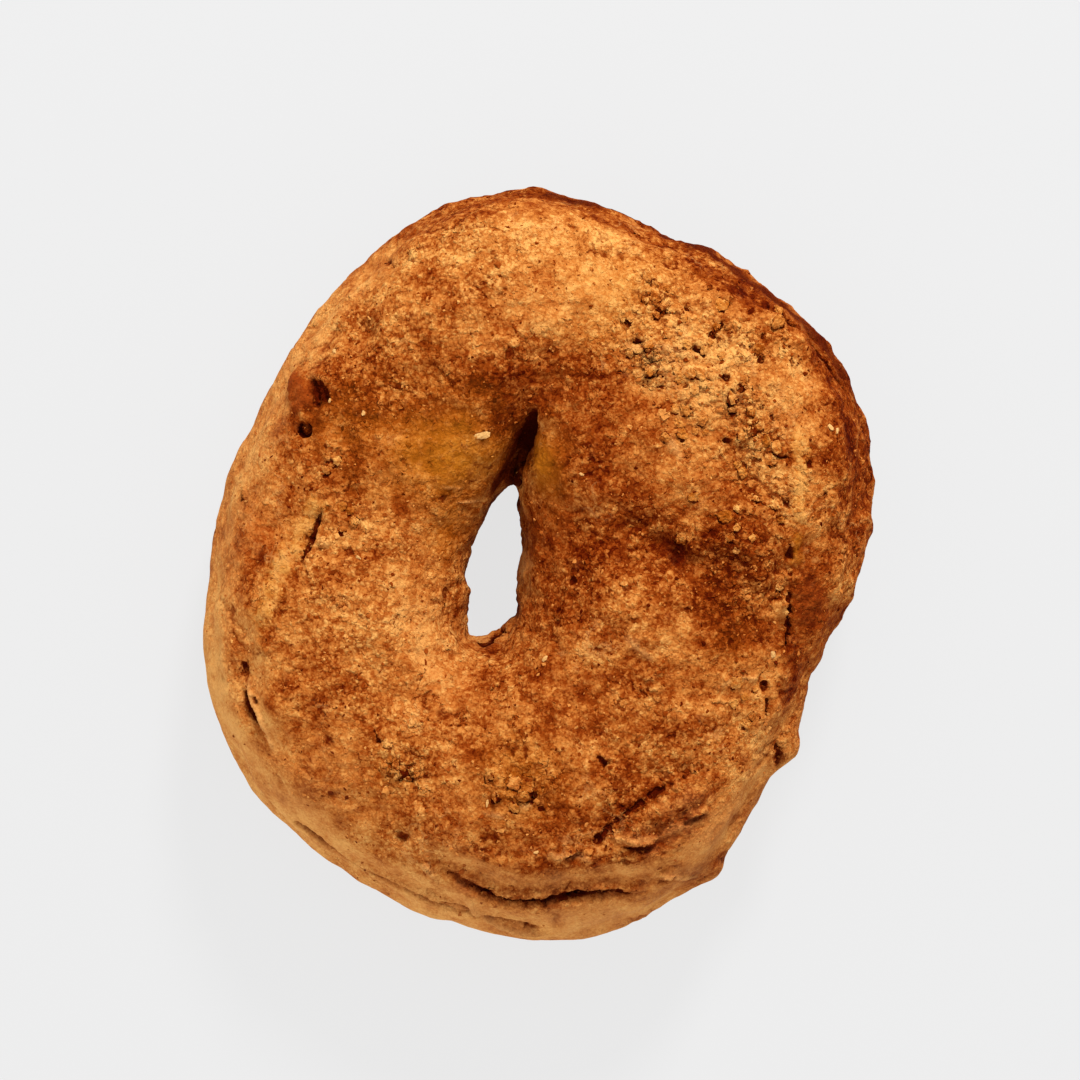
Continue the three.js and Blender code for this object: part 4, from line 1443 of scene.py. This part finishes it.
    # The crevice and scorch tints on the walls of the hole are painted shade.
    swells: tuple[Swell, ...] = (
        Swell("tip of the hole", -4.3, 15.4, 1.3, 1.3, tints={Tint.CREVICE_SHADE: 0.9, Tint.SCORCH_AND_SHADE: 0.3,
            Tint.SMOOTHNESS: 0.8}),
        Swell("dark notch above the hole", -5.0, 17.0, 2.2, 0.0, 2.0, 27.0, {Tint.CREVICE_SHADE: 0.7,
            Tint.SMOOTHNESS: 0.8}),
        Swell("dark left wall", -9.5, 11.5, 2.2, 0.0, 2.0, 20.0, {Tint.CREVICE_SHADE: 0.5, Tint.SMOOTHNESS: 0.8}),
        Swell("left side of the hole", -13.2, -6.4, 3.0, 0.6),
        Swell("lower right corner of the hole", -4.4, -8.6, 1.8, -0.8),
        Swell("lower left corner of the hole", -12.4, -12.8, 1.3, -0.6),
        Swell("right side of the hole", -2.9, 0.0, 3.0, 0.4),
        Swell("bit on the left side", -13.0, -4.4, 0.7, 0.5),
        Swell("bit on the right side", -3.0, -1.5, 0.6, 0.15),
        Swell("second bit on the right side", -3.4, -4.6, 0.7, 0.25),
        Swell("bit below the hole", -8.0, -12.0, 0.8, 0.6),
        # Paler and smoother at the foot of the hole.
        Swell("pale foot of the hole", -9.5, -12.0, 1.6, 0.0, 10.0, 26.0, {Tint.PALENESS: 0.5,
            Tint.SMOOTHNESS: 0.6}),
    )

    def build(self) -> bpy.types.Object:
        """Builds the crust.

        Returns:
            The crust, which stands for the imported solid.
        """
        mesh = self.fine_mesh()
        clay = Clay(mesh)
        for patch in self.patches + self.browned_patches():
            clay.patch(patch)
        for dimple in self.dimples + self.knob_dimples():
            clay.dimple(dimple)
        for fold in self.folds + self.undercut_shadow_folds() + self.clods.undercut_shadows():
            clay.fold(fold)
        for swell in self.swells:
            clay.swell(swell)
        self.tint_flank(clay)
        clay.finish()
        piece = grown(mesh, self.relief_tree(), self.relief_values(), self.name)
        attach(piece, BODY)
        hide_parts(NODE)
        return finish_piece(piece)

    def browned_patches(self) -> tuple[Patch, ...]:
        """Returns the patches that are only browner or lighter than the rest."""
        return tuple(Patch(*row[:4], {Tint.BROWNING_AND_SHADE: row[4]}) for row in self.browned)

    def knob_dimples(self) -> tuple[Dimple, ...]:
        """Returns the knobs, each given by its x, y and reach, as light bumps."""
        tints = {Tint.BROWNING_AND_SHADE: -0.6, Tint.CRUMBS: 0.3}
        return tuple(Dimple("knob", x, y, reach, 0.5 * reach, tints=tints) for x, y, reach in self.knobs)

    def undercut_shadow_folds(self) -> tuple[Fold, ...]:
        """Returns the short grooves under lumps, each given by its path, with a lip above and painted shadow
        in them.
        """
        # Painted shadow: dark in the short grooves, browner in the softer ones on the flank.
        dark = {Tint.CREVICE_SHADE: 1.2, Tint.SCORCH_AND_SHADE: 0.4}
        brown = {Tint.CREVICE_SHADE: 0.6, Tint.BROWNING_AND_SHADE: 0.7}
        sharp = {"rise": -0.55, "width": 0.42, "lip": 0.8, "ragged": 0.8, "tints": dark}
        soft = {"rise": -0.8, "width": 0.45, "lip": 0.8, "ragged": 0.4, "tints": brown}
        sorts = ((self.undercut_shadows, sharp), (self.soft_undercut_shadows, soft))
        return tuple(Fold("undercut_shadow", path, **shape) for paths, shape in sorts for path in paths)

    def marked_places(self) -> KDTree:
        """Returns the places, seen from above, of the narrow folds and the dimples."""
        folds = self.folds + self.undercut_shadow_folds() + self.clods.undercut_shadows()
        folds = [fold for fold in folds if fold.width < self.mark_reach]
        paths = [evenly(rounded(fold.path), Clay.SAMPLE_SPACING) for fold in folds]
        spots = [[dimple.x, dimple.y] for dimple in self.dimples + self.knob_dimples()]
        places = np.concatenate([*paths, spots])
        tree = KDTree(len(places))
        for index, (x, y) in enumerate(places):
            tree.insert((x * MM, y * MM, 0.0), index)
        tree.balance()
        return tree

    def fine_mesh(self) -> bpy.types.Mesh:
        """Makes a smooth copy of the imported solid's mesh, with small faces above the underside."""
        form = bmesh.new()
        form.from_mesh(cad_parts[NODE].data)
        bmesh.ops.remove_doubles(form, verts=form.verts, dist=self.weld * MM)
        angles = {"angle_face_threshold": self.any_angle, "angle_shape_threshold": self.any_angle}
        bmesh.ops.join_triangles(form, faces=form.faces, **angles)
        mesh = bpy.data.meshes.new(self.name)
        form.to_mesh(mesh)
        form.free()
        smooth = self.subdivided(mesh)
        form = bmesh.new()
        form.from_mesh(smooth)
        bmesh.ops.triangulate(form, faces=form.faces)
        marks = self.marked_places()
        for _ in range(self.refinements):
            self.split_long_edges(form, marks)
        axes = {f"use_axis_{axis}": True for axis in "xyz"}
        bmesh.ops.smooth_vert(form, verts=form.verts, factor=0.5, **axes)
        bmesh.ops.recalc_face_normals(form, faces=form.faces)
        form.to_mesh(smooth)
        form.free()
        return smooth

    def subdivided(self, mesh: bpy.types.Mesh) -> bpy.types.Mesh:
        """Returns the mesh after one step of subdivision."""
        carrier = linked(self.name, mesh)
        modifier = carrier.modifiers.new("subdivision", "SUBSURF")
        modifier.levels = 1
        modifier.render_levels = 1
        depsgraph = bpy.context.evaluated_depsgraph_get()
        smooth = bpy.data.meshes.new_from_object(carrier.evaluated_get(depsgraph), depsgraph=depsgraph)
        bpy.data.objects.remove(carrier)
        return smooth

    def split_long_edges(self, form: bmesh.types.BMesh, marks: KDTree) -> None:
        """Splits each edge that is longer than its place allows, which is shorter near a mark."""
        long = []
        for edge in form.edges:
            length = edge.calc_length()
            ends = [corner.co for corner in edge.verts]
            height = max(end.z for end in ends) / MM
            limit = self.flank_edge if height > self.underside else self.underside_edge
            limit = self.top_edge if height > self.flank else limit
            if height > self.underside and self.mark_edge * MM < length and edge.verts[0].normal.z > 0:
                middle = (ends[0] + ends[1]) / 2
                if marks.find((middle.x, middle.y, 0.0))[2] < self.mark_reach * MM:
                    limit = self.mark_edge
            if length > limit * MM:
                long.append(edge)
        bmesh.ops.subdivide_edges(form, edges=long, cuts=1)
        bmesh.ops.triangulate(form, faces=[face for face in form.faces if len(face.verts) > 3])

    def tint_flank(self, clay: Clay) -> None:
        """Makes the outer sides, which stood close to the tray, paler and smoother than the crown, and the
        north-east side browner. Partly painted light: the paler sides stand for light thrown on them from
        around, and the browner north-east side for painted shade.
        """
        x, y, z = clay.points.T
        outward = np.clip((clay.normals[:, 0] * x + clay.normals[:, 1] * y) / np.hypot(x, y), 0.0, 1.0)
        gentle, steepest = self.flank_slope
        steep = np.clip((outward - gentle) / (steepest - gentle), 0.0, 1.0)
        steep = steep * steep * (3 - 2 * steep)
        low = np.clip((self.flank_top - z) / (self.flank_top - self.flank_bottom), 0.0, 1.0)
        # How far a point faces the north-east side, which is browned partly as painted shade.
        hot = np.clip(0.1 + 1.5 * (x * self.dark_side[0] + y * self.dark_side[1]) / np.hypot(x, y), 0.0, 1.0)
        smooth = self.flank_smoothness * np.maximum(low, steep)
        clay.tints[Tint.SMOOTHNESS] += smooth * (1 - 0.8 * hot)
        clay.tints[Tint.PALENESS] += (self.steep_paleness * steep + self.low_paleness * low) * (1 - hot)
        clay.tints[Tint.BROWNING_AND_SHADE] += steep * (self.dark_side_browning * hot - self.light_side_lightness * (1 - hot))

    def relief_tree(self) -> bpy.types.NodeTree:
        """Builds the tree that raises lumps, knobs and granules and sinks pits."""
        titles = ("Lump", "Knob", "Granule", "Pit", "Base dent")
        inputs = {f"{title} {size}": float for title in titles for size in ("length", "height")}
        inputs |= {"Fissure length": float, "Base fade": float, "Material": bpy.types.Material}
        nodes, given = new_geometry_tree("crust relief", inputs)
        place = nodes.place()
        rough = 1 - nodes.attribute(Tint.SMOOTHNESS.value) * 0.75
        calm = 1 - nodes.attribute(Tint.SMOOTHNESS.value).step(0.0, 0.8) * 0.85
        crumbs = nodes.attribute(Tint.CRUMBS.value)

        relief = nodes.waves(place, given["Lump length"], 1.0) * given["Lump height"] * (calm * 0.5 + 0.5)
        relief = relief + nodes.waves(place, given["Knob length"], 2.0) * given["Knob height"] * calm
        bent = nodes.bent(place, given["Granule length"], given["Granule length"] * 0.35)
        granules = nodes.cells(bent, given["Granule length"])
        gap = granules.distance.step(0.40, 0.70)
        coarse = 0.35 + crumbs * 1.3
        dome = granules.distance.step(0.75, 0.05) * 0.6 + granules.draw * 0.8
        relief = relief + dome * given["Granule height"] * rough * coarse
        torn = nodes.bent(place, given["Pit length"] * 0.5, given["Pit length"] * 0.35)
        pits = nodes.cells(torn, given["Pit length"])
        pitted = (pits.draw - 1 + (0.03 + crumbs * 0.26)).step(0.0, 0.03)
        pit = pits.distance.step(0.42, 0.16) * pitted * rough
        fissures = nodes.fissures(place, given["Fissure length"], 0.16, 0.35)
        pit = (pit + fissures * 0.6).clamped()
        relief = relief - pit * given["Pit height"]

        height = nodes.height()
        fade = (height * (1 / given["Base fade"])).step(0.1, 1.0)
        offset = nodes.scaled(nodes.add("GeometryNodeInputNormal").outputs["Normal"], relief * fade)
        # The mask between the granules is kept for the painted shade there.
        geometry = nodes.store(given["Geometry"], "gap", gap * fade)
        geometry = nodes.store(geometry, "pit", pit * fade)
        geometry = nodes.moved(geometry, offset)
        dents = nodes.waves(place, given["Base dent length"], 3.0).step(0.1, 0.9)
        rise = dents * given["Base dent height"] * (1 - fade)
        up = nodes.add("ShaderNodeCombineXYZ", None, {"Z": rise}).outputs[0]
        geometry = nodes.moved(geometry, up)
        return end_tree(nodes, geometry, given["Material"], True)

    def relief_values(self) -> dict[str, Any]:
        """Returns the values of the relief tree's inputs."""
        sizes = {
            "Lump": self.lump,
            "Knob": self.knob,
            "Granule": self.granule,
            "Pit": self.pit,
            "Base dent": self.base_dent,
        }
        values: dict[str, Any] = {}
        for title, (length, height) in sizes.items():
            values[f"{title} length"] = length * MM
            values[f"{title} height"] = height * MM
        values |= {"Fissure length": self.fissure_length * MM, "Base fade": self.base_fade * MM}
        return values | {"Material": self.finish.material()}


# --- The crumbs ------------------------------------------------------------------------------


@dataclass(frozen=True)
class CrumbSort:
    """A sort of crumb: how many lie on the crust, how large they are and how baked they look."""

    name: str
    per_square_cm: float
    smallest: float
    largest: float
    tones: Span
    crumbly_share: float
    seed: int
    sides: int = 1
    sink: float = 0.4
    ruggedness: float = 0.9


@dataclass
class Crumbs:
    """The crumbs baked onto the crust, one piece for each sort."""

    finish: BakedCrumb = BakedCrumb()
    above: Span = (19.0, 32.0)
    cluster: float = 7.0
    stretch: Span = (0.55, 1.35)
    sorts: tuple[CrumbSort, ...] = (
        CrumbSort("dark_grit", 30, 0.18, 0.45, (0.15, 0.45), 0.4, 11),
        CrumbSort("tan_grit", 34, 0.18, 0.42, (0.50, 0.78), 0.4, 12),
        CrumbSort("brown_grit", 34, 0.20, 0.50, (0.35, 0.65), 0.4, 13),
        CrumbSort("coarse_crumbs", 30.0, 0.28, 0.62, (0.50, 0.80), 0.96, 15, 1, 0.6),
        CrumbSort("crumb_clumps", 4.0, 0.55, 1.00, (0.50, 0.75), 0.99, 16, 2, 0.6, 1.1),
    )

    def build(self, crust: bpy.types.Object) -> list[bpy.types.Object]:
        """Scatters the crumbs.

        Args:
            crust: The crust that the crumbs stick to.

        Returns:
            One piece for each sort of crumb.
        """
        tree = self.scatter_tree()
        material = self.finish.material()
        pieces = []
        for sort in self.sorts:
            piece = grown(crust.data, tree, self.scatter_values(sort, material), sort.name)
            pieces.append(finish_piece(piece))
        return pieces

    def scatter_tree(self) -> bpy.types.NodeTree:
        """Builds the tree that scatters rough crumbs over a surface."""
        numbers = ("Density", "Crumbly share", "Smallest", "Largest", "Sink", "Ruggedness", "Least tone")
        inputs = {title: float for title in (*numbers, "Most tone", "Lowest", "Full cover", "Cluster")}
        inputs |= {"Sides": int, "Seed": int, "Material": bpy.types.Material}
        nodes, given = new_geometry_tree("crumbs", inputs)
        crumbly = nodes.attribute(Tint.CRUMBS.value)
        share = given["Crumbly share"]
        cover = (1 - share) + share * crumbly
        clusters = nodes.waves(nodes.place(), given["Cluster"], 2.0).step(-0.8, 0.5) * 0.75 + 0.25
        cover = cover * clusters * (1 - nodes.attribute(Tint.SMOOTHNESS.value) * 0.85)
        low = nodes.add(
            "ShaderNodeMapRange",
            {"interpolation_type": "SMOOTHSTEP"},
            {"Value": nodes.height(), "From Min": given["Lowest"], "From Max": given["Full cover"]},
        )
        cover = cover * nodes.value(low.outputs["Result"]) * nodes.upwardness().step(0.3, 0.75)
        scatter = nodes.add(
            "GeometryNodeDistributePointsOnFaces",
            {"distribute_method": "RANDOM"},
            {"Mesh": given["Geometry"], "Density": cover * given["Density"], "Seed": given["Seed"]},
        )
        seed = given["Seed"]
        spread = nodes.draw(0.0, 1.0, seed + 1) ** 2.0
        size = given["Smallest"] + (given["Largest"] - given["Smallest"]) * spread
        points = nodes.store(scatter.outputs["Points"], "size", size)
        points = nodes.store(points, "tone", nodes.draw(given["Least tone"], given["Most tone"], seed + 2))
        size = nodes.attribute("size")
        inward = nodes.scaled(scatter.outputs["Normal"], size * given["Sink"] * -1.0)
        points = nodes.moved(points, inward)
        ball = nodes.add("GeometryNodeMeshIcoSphere", None, {"Radius": 1.0, "Subdivisions": given["Sides"]})
        angles = nodes.draw_vector(0.0, FULL_TURN, seed + 3)
        turn = nodes.add("FunctionNodeEulerToRotation", None, {0: angles})
        crumbs = nodes.add(
            "GeometryNodeInstanceOnPoints",
            None,
            {
                "Points": points,
                "Instance": ball.outputs["Mesh"],
                "Rotation": turn.outputs[0],
                "Scale": nodes.scaled(nodes.draw_vector(*self.stretch, seed + 4), size),
            },
        )
        real = nodes.add("GeometryNodeRealizeInstances", None, {"Geometry": crumbs.outputs["Instances"]})
        bent = nodes.bent(nodes.place(), given["Smallest"] * 1.5, size * given["Ruggedness"])
        placed = {"Geometry": real.outputs["Geometry"], "Position": bent}
        rough = nodes.add("GeometryNodeSetPosition", None, placed).outputs[0]
        return end_tree(nodes, rough, given["Material"], False)

    def scatter_values(self, sort: CrumbSort, material: bpy.types.Material) -> dict[str, Any]:
        """Returns the values of the scatter tree's inputs for a sort of crumb."""
        return {
            "Density": sort.per_square_cm * SQUARE_CM_PER_SQUARE_METRE,
            "Crumbly share": sort.crumbly_share,
            "Smallest": sort.smallest * MM,
            "Largest": sort.largest * MM,
            "Sink": sort.sink,
            "Ruggedness": sort.ruggedness,
            "Least tone": sort.tones[0],
            "Most tone": sort.tones[1],
            "Lowest": self.above[0] * MM,
            "Full cover": self.above[1] * MM,
            "Cluster": self.cluster * MM,
            "Sides": sort.sides,
            "Seed": sort.seed,
            "Material": material,
        }


# --- The flakes ------------------------------------------------------------------------------


@dataclass(frozen=True)
class BakedFlake:
    """A flake of bran or oat: pale cream with a faint grain along it."""

    name: str = "baked_flake"
    light: Colour = (0.66, 0.40, 0.16)
    dark: Colour = (0.46, 0.22, 0.06)
    grain: float = 0.3

    def material(self) -> bpy.types.Material:
        """Returns the flakes' material."""
        material, shade = new_material(self.name)
        grain = shade.waves(shade.place(), self.grain * MM, 2.0)
        shade.surface(
            Base_Color=shade.mix((grain * 0.5 + 0.5).clamped(), self.light, self.dark),
            Roughness=(0.75 + grain * 0.08).clamped(),
            Normal=shade.bump(grain, 0.08 * MM, 0.6),
            Specular_IOR_Level=0.2,
        )
        return material


@dataclass(frozen=True)
class Flake:
    """A flake that lies on the crust."""

    x: float
    y: float
    length: float
    width: float
    turn: float


@dataclass
class Flakes:
    """The few pale flakes of bran and oat that stick to the crust."""

    name: str = "bran_flakes"
    thickness: float = 0.35
    lift: float = 0.12
    ruggedness: float = 0.55
    wave_rate: float = 1.4
    subdivisions: int = 2
    flakes: tuple[Flake, ...] = (
        Flake(-9.3, 22.2, 2.6, 1.3, -0.15),
        Flake(49.8, 23.5, 1.3, 0.9, 0.5),
        Flake(51.0, 23.0, 1.2, 0.7, -0.6),
        Flake(-0.2, -48.4, 0.9, 0.6, 0.3),
        Flake(-35.3, 28.1, 0.9, 0.8, 0.0),
        Flake(-29.5, 25.9, 0.8, 0.7, 0.6),
        Flake(-34.7, 36.7, 0.9, 0.6, 1.0),
        Flake(40.2, -15.2, 1.3, 0.9, 0.8),
        Flake(1.3, -15.8, 1.2, 0.7, -0.2),
        Flake(7.5, 15.5, 0.9, 0.5, 1.2),
        Flake(-30.4, 1.4, 1.0, 0.5, -0.3),
        Flake(-8.5, -40.0, 1.3, 0.5, 0.2),
    )
    finish: BakedFlake = BakedFlake()

    def build(self, crust: bpy.types.Object) -> bpy.types.Object:
        """Lays the flakes on the crust.

        Args:
            crust: The crust that they stick to.

        Returns:
            All the flakes as one piece.
        """
        clay = Clay(crust.data)
        form = bmesh.new()
        for flake in self.flakes:
            spot = clay.lift_facing((flake.x, flake.y))
            if spot is None:
                continue
            point, normal = spot
            slope = Vector(normal).to_track_quat("Z", "Y").to_matrix() @ Matrix.Rotation(flake.turn, 3, "Z")
            shift = Vector((flake.x, flake.y, 0.0))
            ball = bmesh.ops.create_icosphere(form, subdivisions=self.subdivisions, radius=1.0)
            for corner in ball["verts"]:
                way = corner.co.copy()
                size = 1 + self.ruggedness * noise.noise(way * self.wave_rate + shift)
                flat = Vector((way.x * flake.length, way.y * flake.width, way.z * self.thickness)) * size / 2
                corner.co = (Vector(point) + Vector(normal) * self.lift + slope @ flat) * MM
        return finish_piece(built(self.name, form, self.finish.material()))


# --- The stage -------------------------------------------------------------------------------


@dataclass
class Stage:
    """A pale floor, soft light from the north, and a camera that looks straight down."""

    floor_reach: float = 30.0
    camera_place: Spot = (0.45, 4.4, 473.0)
    lens: float = 85.0
    sensor: float = 36.0
    key_place: Spot = (170.0, 640.0, 560.0)
    key_size: float = 0.18
    key_power: float = 6.6
    sky: float = 0.83
    fill_place: Spot = (-560.0, -640.0, 130.0)
    fill_size: float = 0.5
    fill_power: float = 1.7
    finish: PaleFloor = PaleFloor()

    def build(self) -> None:
        """Builds the stage."""
        self.build_floor()
        self.build_camera()
        self.build_lights()

    def build_floor(self) -> None:
        """Lays the floor under the bagel."""
        form = bmesh.new()
        bmesh.ops.create_grid(form, x_segments=1, y_segments=1, size=self.floor_reach)
        floor = built("floor", form, self.finish.material())

    def build_camera(self) -> None:
        """Hangs the camera above the bagel."""
        data = bpy.data.cameras.new("camera")
        data.lens = self.lens
        data.sensor_width = self.sensor
        data.clip_start = 0.01
        camera = linked("camera", data)
        camera.location = Vector(self.camera_place) * MM
        bpy.context.scene.camera = camera

    def build_lights(self) -> None:
        """Sets up the key light, a weak low light for the sides, and an even sky."""
        self.build_light("key", self.key_place, self.key_size, self.key_power)
        self.build_light("fill", self.fill_place, self.fill_size, self.fill_power)
        world = bpy.data.worlds.new("sky")
        world.use_nodes = True
        world.node_tree.nodes["Background"].inputs["Color"].default_value = (1.0, 1.0, 1.0, 1.0)
        world.node_tree.nodes["Background"].inputs["Strength"].default_value = self.sky
        bpy.context.scene.world = world
        bpy.context.scene.view_settings.view_transform = "Standard"
        bpy.context.scene.view_settings.look = "Medium High Contrast"

    def build_light(self, name: str, place: Spot, size: float, power: float) -> None:
        """Hangs a round lamp that faces the bagel.

        Args:
            name: The lamp's name.
            place: Where it hangs, in millimetres.
            size: Its diameter, in metres.
            power: Its power, in watts.
        """
        data = bpy.data.lights.new(name, "AREA")
        data.shape = "DISK"
        data.size = size
        data.energy = power
        lamp = linked(name, data)
        spot = Vector(place) * MM
        lamp.matrix_world = Matrix.Translation(spot) @ (-spot).to_track_quat("-Z", "Y").to_matrix().to_4x4()


def main() -> None:
    """Builds the stage, the crust, and what is stuck to it."""
    logging.basicConfig(level=logging.INFO, format="%(name)s: %(message)s")
    Stage().build()
    crust = Crust().build()
    Clods().build(crust)
    Flakes().build(crust)
    Crumbs().build(crust)


if __name__ == "__main__":
    main()
